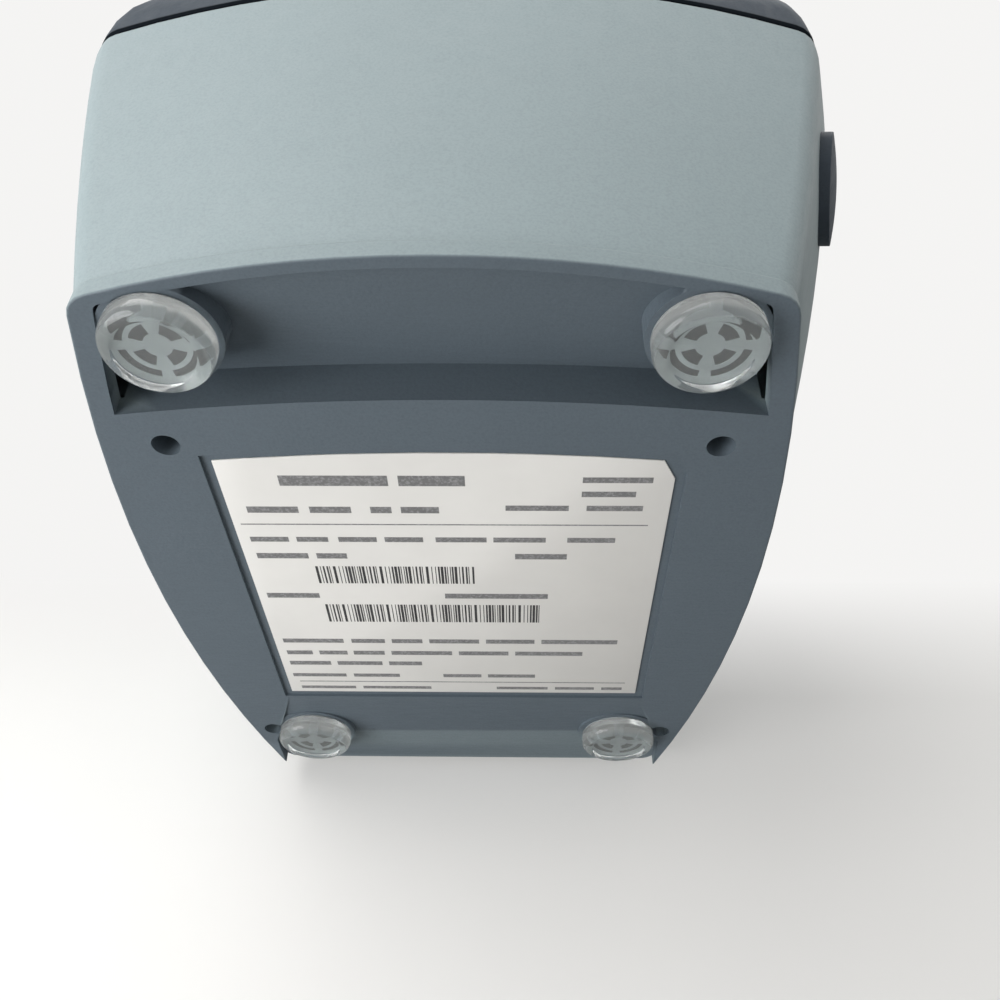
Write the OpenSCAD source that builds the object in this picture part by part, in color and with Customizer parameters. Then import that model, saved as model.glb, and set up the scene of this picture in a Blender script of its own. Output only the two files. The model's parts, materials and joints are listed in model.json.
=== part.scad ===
// Desktop postage label printer: base, flared casing, domed lid and thermal print mechanism.
// Millimetres, +Z up, front towards -Y, origin on the table under the middle of the base.

/* [Base] */
// Widest part of the base lip
base_w = 112.1; // [108:0.1:118]
// Length of the base lip from front to rear
base_d = 153.4; // [151:0.1:160]
// How far the sides of the base bow out in plan
side_bow = 9.35; // [8:0.05:10]
// Plan radius of the front
front_r = 175; // [160:1:230]
// Where the base is widest, along Y
widest_y = -7.6; // [-12:0.1:-2]
// Radius of the plan corners
corner_r = 3; // [2:0.1:4]
// Thickness of the base lip
lip_h = 3.7; // [3.2:0.1:5]
// How far the lip stands out from the casing
lip_step = 0.9; // [0.5:0.1:1.5]
// Height of the base above the table
foot_h = 3.5; // [2.8:0.1:5]
// Thickness of the ramped floors of the base
floor_t = 2.2; // [1.8:0.1:2.6]

/* [Underside] */
// Width of the rim in front of the front scoop
rim_front = 2; // [1.5:0.1:3]
// Width of the rims beside the front scoop
rim_side = 3.8; // [3:0.1:5]
// Depth of the front scoop at the lip
scoop_front = 0.5; // [0.3:0.1:1]
// Depth of the front scoop at its step
scoop_deep = 8; // [6:0.1:8.6]
// Distance of the step of the scoop from the front edge, on the centre line
step_in = 26.2; // [24.7:0.1:27.7]
// Plan radius of the step
step_r = 380; // [300:5:500]
// Length of the rear ramp
ramp_in = 35.1; // [33.7:0.1:35.7]
// How far the rear ramp rises at the rear edge
ramp_rise = 2.8; // [1.5:0.1:3]
// Half width of the rear ramp where it starts
ramp_x = 38.5; // [36:0.1:40]
// Half width of the rear ramp at the rear
ramp_end_x = 45; // [43:0.1:46]
// Width of the rating plate
plate_w = 75; // [70:0.5:77]
// Distance of the rating plate from the rear edge
plate_rear_in = 37.5; // [37.3:0.1:40.7]
// Distance of the front corners of the rating plate from the front edge
plate_front_in = 40.3; // [39.7:0.1:43.7]
// How far the front edge of the rating plate bows forward
plate_bow = 1.9; // [1:0.1:2.4]
// Thickness of the rating plate
plate_t = 0.3; // [0.2:0.05:0.4]
// Depth of the recess for the rating plate
plate_recess = 0.6; // [0.5:0.05:0.8]
// Width of the recess round the rating plate
plate_margin = 1.7; // [1:0.1:1.8]

/* [Feet and screws] */
// Diameter of a foot
foot_d = 16.4; // [15:0.1:17]
// Diameter of the boss over a foot
boss_d = 18; // [17.2:0.1:19]
// Half distance between the front feet
foot_front_x = 38.5; // [37:0.1:39]
// Distance of the front feet from the front edge
foot_front_in = 14.2; // [13.7:0.1:15.2]
// Half distance between the rear feet
foot_rear_x = 35.1; // [33:0.1:35.6]
// Distance of the rear feet from the rear edge
foot_rear_in = 18.6; // [16.7:0.1:20.7]
// Diameter of the plug on a foot
plug_d = 5; // [4:0.1:6]
// Length of the plug on a foot
plug_h = 2; // [1.5:0.1:2.4]
// Half distance between the front screw holes
screw_front_x = 43.65; // [43:0.05:44]
// Distance of the front screw holes from the front edge
screw_front_in = 36.3; // [35.7:0.1:37.2]
// Half distance between the rear screw holes
screw_rear_x = 44.6; // [44:0.1:44.8]
// Distance of the rear screw holes from the rear edge
screw_rear_in = 20; // [18.7:0.1:22.7]
// Diameter of the screw holes in the base
well_d = 4.6; // [4.2:0.1:5]
// Depth of the screw holes in the base
well_depth = 8; // [6:0.1:9]
// Diameter of the screw threads
thread_d = 2.6; // [2:0.1:2.8]
// Length of a base screw below its head
screw_l = 8; // [6:0.5:9]

/* [Casing and lid] */
// Height of the whole printer
body_h = 122; // [121:0.1:126]
// Wall of the casing and the lid
wall = 2.5; // [2:0.1:2.8]
// How fast the sides flare out just above the base
flare_rate = 0.273; // [0.265:0.001:0.276]
// How fast that flare fades with height
flare_fade = 0.0006; // [0.0006:0.0001:0.0009]
// Extra flare half way along the sides, as a share
barrel = 0.3; // [0.22:0.01:0.31]
// Height where the dome starts to turn in
dome_start = 72; // [70:0.5:73]
// How far the dome turns in at the top of the sides
dome_inset = 50; // [46:0.5:54]
// How far the rear leans in with height, as a slope
rear_lean = 0.09; // [0.07:0.005:0.1]
// Height of the seam between casing and lid on the centre line
seam_crown = 85; // [84.6:0.1:85.4]
// Radius of the arched seam
seam_r = 450; // [420:5:500]
// Gap at the seam
seam_gap = 0.5; // [0.3:0.05:0.8]
// Half width of the label exit
exit_x = 31; // [29:0.5:33]
// Height of the casing edge under the label exit
exit_z = 82.5; // [82:0.1:82.7]

/* [Lid hinge] */
// Distance of the hinge axis from the rear edge
hinge_in = 5.5; // [4.7:0.1:5.9]
// Height of the hinge axis
hinge_z = 83; // [82.5:0.1:83.5]
// Half distance between the two hinges
hinge_x = 24; // [20:0.5:28]
// Diameter of the hinge knuckles
knuckle_d = 7; // [6:0.1:7.2]
// Length of one hinge knuckle
knuckle_l = 5; // [4:0.1:6]
// Diameter of the hinge pins
hinge_pin_d = 3; // [2.4:0.1:3.4]

/* [Release button and latch] */
// Diameter of the release button
button_d = 19.8; // [17:0.1:20]
// Distance of the release button from the front edge
button_in = 25.3; // [24.7:0.1:26.3]
// Height of the release button
button_z = 56.5; // [56:0.1:56.7]
// How far the release button stands out of the casing when it is pressed in
button_proud = 0.9; // [0.7:0.1:1.5]
// Travel of the release button
button_travel = 1.6; // [1.2:0.1:1.8]
// Diameter of the latch pin
latch_pin_d = 3; // [2.4:0.1:3.2]
// Place of the latch pin along X
latch_x = 51.7; // [51.4:0.1:52]
// Height of the latch pin above the release button
latch_rise = 14; // [13.9:0.1:14.2]
// Thickness of the latch lever
latch_t = 2; // [1.6:0.1:2.2]

/* [Print mechanism] */
// Distance of the platen axis from the front edge
platen_in = 19.7; // [19.3:0.1:20.3]
// Height of the platen axis
platen_z = 73; // [72.6:0.1:73.2]
// Diameter of the platen rubber
platen_d = 14; // [13:0.1:14.4]
// Length of the platen rubber
platen_l = 66; // [60:0.5:70]
// Diameter of the platen shaft
shaft_d = 5; // [4:0.1:6]
// Gap between the print head and the platen for the label
label_gap = 0.3; // [0.2:0.05:0.5]
// Outer face of the side plates
plate_x = 46; // [45.8:0.1:46.2]
// Thickness of the side plates
plate_gauge = 1.5; // [1.2:0.1:1.6]
// Module of the drive gears
gear_m = 0.6; // [0.58:0.01:0.62]
// Teeth of the platen gear
platen_teeth = 24; // [22:2:26]
// Teeth of the idler gear
idler_teeth = 36; // [34:2:38]
// Teeth of the motor pinion
pinion_teeth = 12; // [12:1:14]
// Face width of the drive gears
gear_w = 3.6; // [3:0.1:4]
// Diameter of the motor
motor_d = 25; // [22:0.5:26]
// Length of the motor
motor_l = 16; // [14:0.5:20]
// Height of the print head over its face
head_h = 4.6; // [4:0.1:5]
// Width of the print head along the label
head_d = 12; // [10:0.5:13]
// Wire of the print head springs
head_wire = 0.7; // [0.5:0.05:0.8]
// Outside diameter of the print head springs
head_spring_d = 6; // [5:0.1:7]
// Turns of the print head springs
head_turns = 5; // [4:1:6]

/* [Electronics] */
// Width of the main board
board_w = 79; // [74:0.5:79.5]
// Thickness of the main board
board_t = 1.6; // [1.2:0.1:2]
// Height of the posts under the main board
board_post_h = 5; // [4:0.1:6]
// Width of the data socket
usb_w = 12; // [11:0.1:13]
// Height of the data socket
usb_h = 11; // [10:0.1:12]
// Width of the power socket
jack_w = 9; // [8:0.1:11]
// Height of the power socket
jack_h = 11; // [10:0.1:12]

/* [Label roll] */
// Distance of the roll axis from the rear edge
roll_in = 58.7; // [56.7:0.5:61.7]
// Height of the roll axis
roll_z = 70; // [66:0.5:72]
// Half distance between the roll holders
holder_x = 33; // [32:0.1:34]
// Thickness of a roll holder
holder_t = 3; // [2.4:0.1:3.4]
// Travel of each roll holder towards the middle
holder_travel = 15; // [8:0.5:15]
// Diameter of the hub that enters the roll core
hub_d = 24; // [20:0.5:25]
// Height of the roll cradle floor
cradle_z = 28; // [27.6:0.1:29]
// Thickness of the roll cradle floor
cradle_t = 2; // [1.8:0.1:2.4]

/* [Fits] */
// Radial clearance of shafts and pins that turn
run_fit = 0.05; // [0.03:0.01:0.1]
// Radial clearance of parts that are pressed or glued in
press_fit = 0.02; // [0.01:0.01:0.03]
// Clearance of sliding and covered parts
slide_fit = 0.2; // [0.15:0.05:0.3]

/* [Hidden] */
$fn = 64;
casing_colour = "#93a0a6";
base_colour = "#8d99a0";
lid_colour = "#4c5862";
steel_colour = "#b9bdc0";
dark_colour = "#33383c";
board_colour = "#1f6b45";
eps = 0.01;
far = 200;

// Places along Y, from the front and the rear edge, and what follows from them
front = -base_d / 2;
rear = base_d / 2;
step_y = front + step_in;
ramp_y = rear - ramp_in;
plate_rear = rear - plate_rear_in;
plate_front = front + plate_front_in;
foot_front_y = front + foot_front_in;
foot_rear_y = rear - foot_rear_in;
screw_front_y = front + screw_front_in;
screw_rear_y = rear - screw_rear_in;
hinge_y = rear - hinge_in;
button_y = front + button_in;
platen_y = front + platen_in;
roll_y = rear - roll_in;
side_r = base_d * base_d / (8 * side_bow);
latch_z = button_z + latch_rise;

// Levels of the base
lip_top = foot_h + lip_h;
inner_gap = lip_step + wall + slide_fit + 2 * rear_lean * lip_h;
small_thread = thread_d - 0.4;
small_head = 4.7;
small_head_h = 1.6;
base_head_h = 1.8;
frame_screw_l = 7;
board_screw_l = 3;
well_wall = 1.8;
well_floor = 2;
well_top = foot_h + well_depth + well_floor;
SCREW_PLACES = [for (s = [-1, 1], p = [[screw_front_x, screw_front_y], [screw_rear_x, screw_rear_y]])
    [s * p[0], p[1]]];

// Outline of the body at a height
corner_dy = 0.4055 * base_d;
front_turn = 0.8;
rear_turn = 0.5;
function rise(z) = max(z - foot_h, 0);
function flare(z) = flare_rate * rise(z) - flare_fade * rise(z) * rise(z);
function dome_t(z) = min(1, max(0, (z - dome_start) / (body_h - dome_start)));
function dome(z) = dome_inset * (1 - sqrt(1 - dome_t(z) * dome_t(z)));
function half_w(z) = base_w / 2 - lip_step + flare(z) * (1 + barrel) - dome(z);
function side_rad(z) = corner_dy * corner_dy / (corner_dy * corner_dy / side_r + 2 * barrel * flare(z));
function front_t(z) = min(1, max(0, (z - seam_crown) / (body_h - seam_crown)));
function front_y(z) = front + lip_step
    + front_turn * dome_inset * (1 - sqrt(1 - front_t(z) * front_t(z)));
function front_rad(z) = front_r * pow(1 + 2 * flare(z) / base_w, 2);
function rear_y(z) = rear - lip_step - rear_lean * rise(z) - rear_turn * dome(z);
function side_x(hw, sr, y) = hw - sr + sqrt(sr * sr - (y - widest_y) * (y - widest_y));
function arc_y(fy, fr, x) = fy + fr - sqrt(fr * fr - x * x);
function bend(a, c, b, n) = [for (i = [0:n])
    let (t = i / n) (1 - t) * (1 - t) * a + 2 * t * (1 - t) * c + t * t * b];
function corner_x(hw, sr, fy, fr, n) = n == 0
    ? hw
    : side_x(hw, sr, arc_y(fy, fr, corner_x(hw, sr, fy, fr, n - 1)));

// Right half of a plan: front arc, corner, side arc, corner and straight rear
front_n = 8;
corner_n = 4;
side_n = 12;
rear_n = 4;
function half_ring(hw, sr, fy, fr, ry, c) =
    let (xc = corner_x(hw, sr, fy, fr, 4))
    let (yc = arc_y(fy, fr, xc))
    let (xr = side_x(hw, sr, ry))
    let (xa = xc - c)
    let (ya = yc + c)
    let (yb = ry - c)
    concat(
        [for (i = [0:front_n - 1]) [xa * i / front_n, arc_y(fy, fr, xa * i / front_n)]],
        bend([xa, arc_y(fy, fr, xa)], [xc, yc], [side_x(hw, sr, ya), ya], corner_n),
        [for (i = [1:side_n - 1])
            let (y = ya + (yb - ya) * i / side_n) [side_x(hw, sr, y), y]],
        bend([side_x(hw, sr, yb), yb], [xr, ry], [xr - c, ry], corner_n),
        [for (i = [1:rear_n]) [(xr - c) * (1 - i / rear_n), ry]]);
function whole(h) = concat(h, [for (i = [len(h) - 2:-1:1]) [-h[i][0], h[i][1]]]);
function at_z(r, z) = [for (p = r) [p[0], p[1], z]];
function lip_ring(inset) = whole(half_ring(base_w / 2 - inset, side_r - inset, front + inset,
    front_r - inset, rear - inset, max(corner_r - inset, 1)));
function outer_ring(z) = at_z(whole(half_ring(half_w(z), side_rad(z), front_y(z), front_rad(z),
    rear_y(z), corner_r)), z);
function skin(z) = wall * (1 - 0.8 * dome_t(z) * dome_t(z));
function inner_ring(z) = at_z(whole(half_ring(half_w(z) - skin(z), side_rad(z) - skin(z),
    front_y(z) + skin(z), front_rad(z) - skin(z), rear_y(z) - skin(z), 0.6 * corner_r)),
    z - wall * dome_t(z));
function wall_out(y, z) = side_x(half_w(z), side_rad(z), y);

// Heights of the rings that shape the casing and the lid
function steps(a, b, n) = [for (i = [0:n]) a + (b - a) * i / n];
side_rings = 6;
shared_rings = 4;
dome_turn = 6;
LID_Z = [for (a = [0:dome_turn:90]) dome_start + (body_h - dome_start) * sin(a)];
CASING_Z = concat(steps(lip_top, dome_start, side_rings), [for (i = [1:shared_rings]) LID_Z[i]]);

// A closed skin through rings of equal length, lowest first
module loft(rings) {
    n = len(rings[0]);
    m = len(rings);
    polyhedron(
        points = [for (r = rings) each r],
        faces = concat(
            [for (j = [0:m - 2], i = [0:n - 1]) each [
                [j * n + i, (j + 1) * n + i, (j + 1) * n + (i + 1) % n],
                [j * n + i, (j + 1) * n + (i + 1) % n, j * n + (i + 1) % n]]],
            [for (i = [1:n - 2]) [0, i, i + 1]],
            [for (i = [1:n - 2]) [(m - 1) * n, (m - 1) * n + i + 1, (m - 1) * n + i]]));
}

// A round wire through points, with its end faces square to it
wire_sides = 6;
function unit(v) = v / norm(v);
function heading(p, i) = unit(p[min(i + 1, len(p) - 1)] - p[max(i - 1, 0)]);
function wire_ring(c, d, up, r) =
    let (u = unit(cross(d, up)))
    let (v = cross(u, d))
    [for (k = [0:wire_sides - 1]) c + r * (cos(360 * k / wire_sides) * u + sin(360 * k / wire_sides) * v)];
module wire(p, r, up) {
    loft([for (i = [0:len(p) - 1]) wire_ring(p[i], heading(p, i), up, r)]);
}

// Round bars along an axis, from a to b
module bar_x(a, b, d) {
    translate([a, 0, 0]) rotate([0, 90, 0]) cylinder(d = d, h = b - a);
}
module bar_y(a, b, d) {
    translate([0, a, 0]) rotate([-90, 0, 0]) cylinder(d = d, h = b - a);
}
module box(lo, hi) {
    translate(lo) cube(hi - lo);
}
// A profile in Y and Z, carried along X from a to b
module along_x(a, b, points) {
    translate([a, 0, 0]) rotate([90, 0, 90]) linear_extrude(b - a) polygon(points);
}
module both_sides() {
    for (s = [0, 1]) mirror([s, 0, 0]) children();
}
module arch(r) {
    translate([0, 0, seam_crown - seam_r]) rotate([90, 0, 0])
        cylinder(r = r, h = 2 * far, center = true, $fn = 360);
}
module pan_screw(head_d, head_h, d, l) {
    cylinder(d = d, h = l);
    translate([0, 0, -head_h]) difference() {
        cylinder(d = head_d, h = head_h);
        for (a = [0, 90]) rotate([0, 0, a]) cube([0.6 * head_d, 0.14 * head_d, 0.9 * head_h], center = true);
    }
}

// Involute gear teeth, with a little backlash and shortened tips
pressure = 20;
backlash = 0.9;
tip = 0.85;
root = 1.2;
function inv(a) = tan(a) * 180 / PI - a;
function tooth_half(n, m, r) =
    let (rb = n * m / 2 * cos(pressure))
    90 / n * backlash + inv(pressure) - (r <= rb ? 0 : inv(acos(rb / r)));
function polar(r, a) = [r * cos(a), r * sin(a)];
function gear_points(n, m) =
    let (ro = n * m / 2 + tip * m)
    let (ri = n * m / 2 - root * m)
    let (rs = [ri, n * m / 2 - 0.5 * m, n * m / 2, ro])
    [for (i = [0:n - 1]) each concat(
        [for (r = rs) polar(r, 360 * i / n - tooth_half(n, m, r))],
        [for (k = [3:-1:0]) polar(rs[k], 360 * i / n + tooth_half(n, m, rs[k]))])];
module gear(n, m, w, bore) {
    difference() {
        linear_extrude(w) polygon(gear_points(n, m));
        translate([0, 0, -eps]) cylinder(d = bore, h = w + 2 * eps);
    }
}

// Places of the drive train: each gear stands at its pitch distance from the last
mesh_gap = 0.04;
platen_idler = gear_m * (platen_teeth + idler_teeth) / 2 + mesh_gap;
idler_pinion = gear_m * (idler_teeth + pinion_teeth) / 2 + mesh_gap;
idler_dir = -63;
pinion_dir = -51;
idler_y = platen_y + platen_idler * cos(idler_dir);
idler_z = platen_z + platen_idler * sin(idler_dir);
motor_y = idler_y + idler_pinion * cos(pinion_dir);
motor_z = idler_z + idler_pinion * sin(pinion_dir);
idler_turn = idler_dir + 180 + 180 / idler_teeth;
mesh_off = pinion_dir - idler_turn;
mesh_lead = -(mesh_off - 360 / idler_teeth * round(mesh_off * idler_teeth / 360));
pinion_turn = pinion_dir + 180 - mesh_lead * idler_teeth / pinion_teeth + 180 / pinion_teeth;
gear_x = -plate_x - 1 - gear_w;

// Base: wedge under the front scoop and under the rear ramp, grown by the floor for their roofs
function scoop_z(y) = foot_h + scoop_front
    + (scoop_deep - scoop_front) * (y - front) / (step_y - front);
function ramp_z(y) = foot_h + ramp_rise * (y - ramp_y) / (rear - ramp_y);
module scoop_solid(grow) {
    y0 = front - 5;
    y1 = step_y + 12;
    intersection() {
        along_x(-far / 2, far / 2, [[y0, foot_h - 1 + grow / 2], [y1, foot_h - 1 + grow / 2],
            [y1, scoop_z(y1) + grow], [y0, scoop_z(y0) + grow]]);
        difference() {
            linear_extrude(far) polygon(whole(half_ring(base_w / 2 - rim_side + grow,
                side_r - rim_side + grow, front + rim_front - grow, front_r - rim_front + grow,
                step_y + 8, 1)));
            translate([0, step_y + step_r + grow, -eps]) cylinder(r = step_r, h = far + 2 * eps, $fn = 360);
        }
    }
}
module ramp_solid(grow) {
    y1 = rear + 5;
    mid_y = ramp_y + 21;
    intersection() {
        along_x(-far / 2, far / 2, [[ramp_y - grow, foot_h - 1 + grow / 2], [y1, foot_h - 1 + grow / 2],
            [y1, ramp_z(y1) + grow], [ramp_y - grow, foot_h + grow]]);
        linear_extrude(far) polygon([[ramp_x + grow, ramp_y - grow], [ramp_end_x + grow, mid_y],
            [ramp_end_x + grow, y1], [-ramp_end_x - grow, y1], [-ramp_end_x - grow, mid_y],
            [-ramp_x - grow, ramp_y - grow]]);
    }
}
foot_gap = 0.3;
foot_top = foot_h + foot_gap;
module foot_places() {
    both_sides() {
        translate([foot_front_x, foot_front_y, 0]) children();
        translate([foot_rear_x, foot_rear_y, 0]) children();
    }
}
// Ring slots and a cross on the face of a foot boss, seen through the clear foot
module boss_marks() {
    depth = 0.5;
    bar = 2.4;
    translate([0, 0, foot_top - eps]) difference() {
        union() {
            difference() {
                cylinder(d = 0.78 * foot_d, h = depth);
                translate([0, 0, -eps]) cylinder(d = 0.62 * foot_d, h = depth + 2 * eps);
            }
            difference() {
                cylinder(d = 0.52 * foot_d, h = depth);
                translate([0, 0, -eps]) cylinder(d = plug_d + 0.8, h = depth + 2 * eps);
            }
        }
        for (a = [0, 90]) rotate([0, 0, a]) cube([foot_d, bar, 3 * depth], center = true);
    }
}
// Slotted blocks that hold the lower ends of the side plates
seat_y = [front + 41.7, front + 52.7];
seat_h = 4.8;
seat_wall = 1.6;
module plate_seat() {
    difference() {
        box([plate_x - plate_gauge - seat_wall, seat_y[0] - seat_wall, lip_top - 1],
            [plate_x + seat_wall, seat_y[1] + seat_wall, lip_top + seat_h]);
        box([plate_x - plate_gauge - run_fit, seat_y[0] - run_fit, lip_top],
            [plate_x + run_fit, seat_y[1] + run_fit, lip_top + seat_h + 1]);
    }
}
board_y = [front + 54.7, rear - 10.7];
BOARD_POSTS = [for (x = [-1, 1], y = [board_y[0] + 5, board_y[1] - 22]) [x * (board_w / 2 - 5), y]];
post_d = 6;
module inside_room() {
    translate([0, 0, foot_h]) linear_extrude(2 * scoop_deep) polygon(lip_ring(inner_gap));
}
module base_tray() {
    color(base_colour) difference() {
        union() {
            difference() {
                union() {
                    translate([0, 0, foot_h]) linear_extrude(lip_h) polygon(lip_ring(0));
                    intersection() {
                        union() {
                            scoop_solid(floor_t);
                            ramp_solid(floor_t);
                            for (p = SCREW_PLACES) translate([p[0], p[1], foot_h])
                                cylinder(d = well_d + 2 * well_wall, h = well_depth + well_floor);
                        }
                        inside_room();
                    }
                    both_sides() plate_seat();
                    for (p = BOARD_POSTS) translate([p[0], p[1], lip_top - 1])
                        cylinder(d = post_d, h = board_post_h + 1);
                    for (p = CRADLE_LEGS) translate([p[0], p[1], lip_top - 1])
                        cylinder(d = leg_d, h = leg_seat + 1);
                }
                scoop_solid(0);
                ramp_solid(0);
            }
            intersection() {
                foot_places() translate([0, 0, foot_top]) cylinder(d = boss_d, h = 2 * scoop_deep);
                union() {
                    scoop_solid(floor_t / 2);
                    ramp_solid(floor_t / 2);
                    translate([0, 0, foot_h]) linear_extrude(lip_h) polygon(lip_ring(lip_step));
                }
                union() {
                    translate([0, 0, foot_h]) linear_extrude(lip_h) polygon(lip_ring(lip_step));
                    inside_room();
                }
            }
        }
        foot_places() {
            boss_marks();
            cylinder(d = foot_d + 2 * slide_fit, h = foot_top);
            cylinder(d = plug_d + 2 * run_fit, h = foot_top + plug_h + slide_fit);
        }
        for (p = SCREW_PLACES) translate([p[0], p[1], 0]) {
            cylinder(d = well_d, h = foot_h + well_depth);
            cylinder(d = thread_d + 3 * slide_fit, h = well_top + 1);
        }
        for (p = BOARD_POSTS) translate([p[0], p[1], lip_top])
            cylinder(d = small_thread, h = board_post_h + 1);
        translate([0, 0, foot_h - 1]) linear_extrude(plate_recess + 1) plate_plan(plate_margin);
    }
}

// Outline of the rating plate: bowed front edge with one cut corner
cut_corner = 3;
module plate_plan(grow) {
    w = plate_w / 2;
    r = (w * w + plate_bow * plate_bow) / (2 * plate_bow);
    intersection() {
        polygon([[-w - grow, plate_rear + grow], [-w - grow, plate_front - plate_bow - grow],
            [w + grow - cut_corner, plate_front - plate_bow - grow],
            [w + grow, plate_front - plate_bow - grow + 2 * cut_corner], [w + grow, plate_rear + grow]]);
        translate([0, plate_front - plate_bow - grow + r]) circle(r, $fn = 360);
    }
}
module rating_plate() {
    color("#cfcdc8") translate([0, 0, foot_h + plate_recess - plate_t])
        linear_extrude(plate_t) plate_plan(0);
}

// Clear foot: domed disc with a plug
module foot(x, y) {
    round_r = 1.6;
    color("#c9d2d4") translate([x, y, 0]) rotate_extrude() polygon(concat(
        [[0, 0]],
        [for (a = [-90:15:0])
            [foot_d / 2 - 2 * round_r + 2 * round_r * cos(a), round_r + round_r * sin(a)]],
        [[foot_d / 2, foot_top], [plug_d / 2, foot_top], [plug_d / 2, foot_top + plug_h],
            [0, foot_top + plug_h]]));
}
module foot_front_left() { foot(-foot_front_x, foot_front_y); }
module foot_front_right() { foot(foot_front_x, foot_front_y); }
module foot_rear_left() { foot(-foot_rear_x, foot_rear_y); }
module foot_rear_right() { foot(foot_rear_x, foot_rear_y); }

module base_screws() {
    color(steel_colour) for (p = SCREW_PLACES) translate([p[0], p[1], foot_h + well_depth])
        pan_screw(well_d - 2 * slide_fit, base_head_h, thread_d, screw_l);
}

// Casing
post_h = 9;
post_gap = 0.1;
post_wall = 1.9;
rib_t = 2;
rib_reach = base_w / 2 + 10;
ear_t = 2.2;
ear_r = 3.2;
latch_y = [front + 22.7, front + 32.1];
spring_room = 3;
EAR_Y = [latch_y[0] - slide_fit - ear_t, latch_y[1] + spring_room + slide_fit];
tube_wall = 2;
tube_x = 56;
pad_x = [20, 26];
tear_y = front + 8.1;
tear_z = [72.5, 81.6];
socket_fit = 0.5;
module casing_inside() {
    for (p = SCREW_PLACES) {
        translate([p[0], p[1], well_top + post_gap]) cylinder(d = thread_d + 2 * post_wall, h = post_h);
        end = sign(p[0]) * rib_reach;
        box([min(p[0], end), p[1] - rib_t / 2, well_top + post_gap],
            [max(p[0], end), p[1] + rib_t / 2, well_top + post_gap + post_h]);
    }
    for (y = EAR_Y) box([latch_x - ear_r, y, latch_z - ear_r], [base_w, y + ear_t, latch_z + ear_r]);
    translate([0, button_y, button_z]) bar_x(tube_x, base_w, button_d + 2 * run_fit + 2 * tube_wall);
    both_sides() box([pad_x[0], front, tear_z[0] + 0.5], [pad_x[1], tear_y, tear_z[0] + 6.5]);
}
// Y and Z profile of the web under a casing knuckle and over a lid knuckle
function rear_in(z) = rear_y(z) - wall / 2;
function casing_web() = [[rear_in(hinge_z - 11), hinge_z - 11], [rear_y(hinge_z - 11), hinge_z - 11],
    [hinge_y + knuckle_d / 2, hinge_z], [hinge_y - knuckle_d / 2, hinge_z],
    [hinge_y - knuckle_d / 2, hinge_z - 3], [rear_in(hinge_z - 3), hinge_z - 3]];
function lid_web() = [[rear_in(hinge_z + 3), hinge_z + 3], [rear_in(hinge_z + 9), hinge_z + 9],
    [rear_y(hinge_z + 9), hinge_z + 9], [hinge_y + 0.45 * knuckle_d, hinge_z + 0.2 * knuckle_d],
    [hinge_y, hinge_z], [hinge_y - 0.4 * knuckle_d, hinge_z + 0.3 * knuckle_d]];
knuckle_gap = 0.2;
function lid_knuckle() = [hinge_x - knuckle_l / 2, hinge_x + knuckle_l / 2];
function casing_knuckles() = [
    [hinge_x - 1.5 * knuckle_l - knuckle_gap, hinge_x - 0.5 * knuckle_l - knuckle_gap],
    [hinge_x + 0.5 * knuckle_l + knuckle_gap, hinge_x + 1.5 * knuckle_l + knuckle_gap]];
relief = 0.5;
module hinge_bar(a, b, d) {
    translate([0, hinge_y, hinge_z]) bar_x(a, b, d);
}
module casing() {
    color(casing_colour) difference() {
        union() {
            difference() {
                intersection() {
                    loft([for (z = CASING_Z) outer_ring(z)]);
                    arch(seam_r - seam_gap / 2);
                }
                loft(concat([at_z(inner_ring(CASING_Z[0]), lip_top - 1)],
                    [for (z = CASING_Z) inner_ring(z)]));
                both_sides() hinge_bar(lid_knuckle()[0] - relief, lid_knuckle()[1] + relief,
                    knuckle_d + 2 * relief);
            }
            intersection() {
                casing_inside();
                loft([for (z = CASING_Z) outer_ring(z)]);
            }
            both_sides() for (k = casing_knuckles()) {
                along_x(k[0], k[1], casing_web());
                hinge_bar(k[0], k[1], knuckle_d);
            }
        }
        both_sides() hinge_bar(0, hinge_x + 2 * knuckle_l, hinge_pin_d + 2 * press_fit);
        for (p = SCREW_PLACES) translate([p[0], p[1], lip_top])
            cylinder(d = thread_d, h = post_h + well_top - 1);
        translate([latch_x, 0, latch_z])
            bar_y(EAR_Y[0] - 1, EAR_Y[1] + ear_t + 1, latch_pin_d + 2 * press_fit);
        translate([0, button_y, button_z]) bar_x(tube_x - 1, base_w, button_d + 2 * run_fit);
        box([-exit_x, -base_d, exit_z], [exit_x, front + 12, exit_z + 20]);
        box([usb_x - usb_w / 2 - socket_fit, rear - 12, board_top - socket_fit],
            [usb_x + usb_w / 2 + socket_fit, base_d, board_top + usb_h + socket_fit]);
        box([jack_x - jack_w / 2 - socket_fit, rear - 12, board_top - socket_fit],
            [jack_x + jack_w / 2 + socket_fit, base_d, board_top + jack_h + socket_fit]);
    }
}

// Lid
post_top_d = 6.4;
frame_z = [96, 98];
frame_l = 28;
frame_in = 18.7;
frame_y = [front + frame_in, front + frame_in + frame_l];
frame_post_in = 4;
frame_post_x = 32;
FRAME_POSTS = [for (x = [-1, 1], y = [frame_y[0] + frame_post_in, frame_y[1] - frame_post_in])
    [x * frame_post_x, y]];
feed_x = 19;
feed_y = front + 53.7;
feed_d = 10;
feed_top = body_h - 0.3;
feed_travel = 1;
dish_d = 16;
dish_h = 1;
dish_r = (dish_d * dish_d / 4 + dish_h * dish_h) / (2 * dish_h);
lens_x = 5;
lens_d = 4;
lens_top = body_h - 0.1;
tab_y = [front + 29.7, front + 34.7];
tab_z = [81, 83.5];
tab_t = 2.4;
nose_gap = 0.4;
ledge_x = latch_x - latch_t - 1.5;
key_board_z = body_h - 12;
key_board_t = 1.2;
key_post_d = 4;
KEY_POSTS = [for (y = [-3, 3]) [lens_x + 4.5, feed_y + y]];
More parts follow.
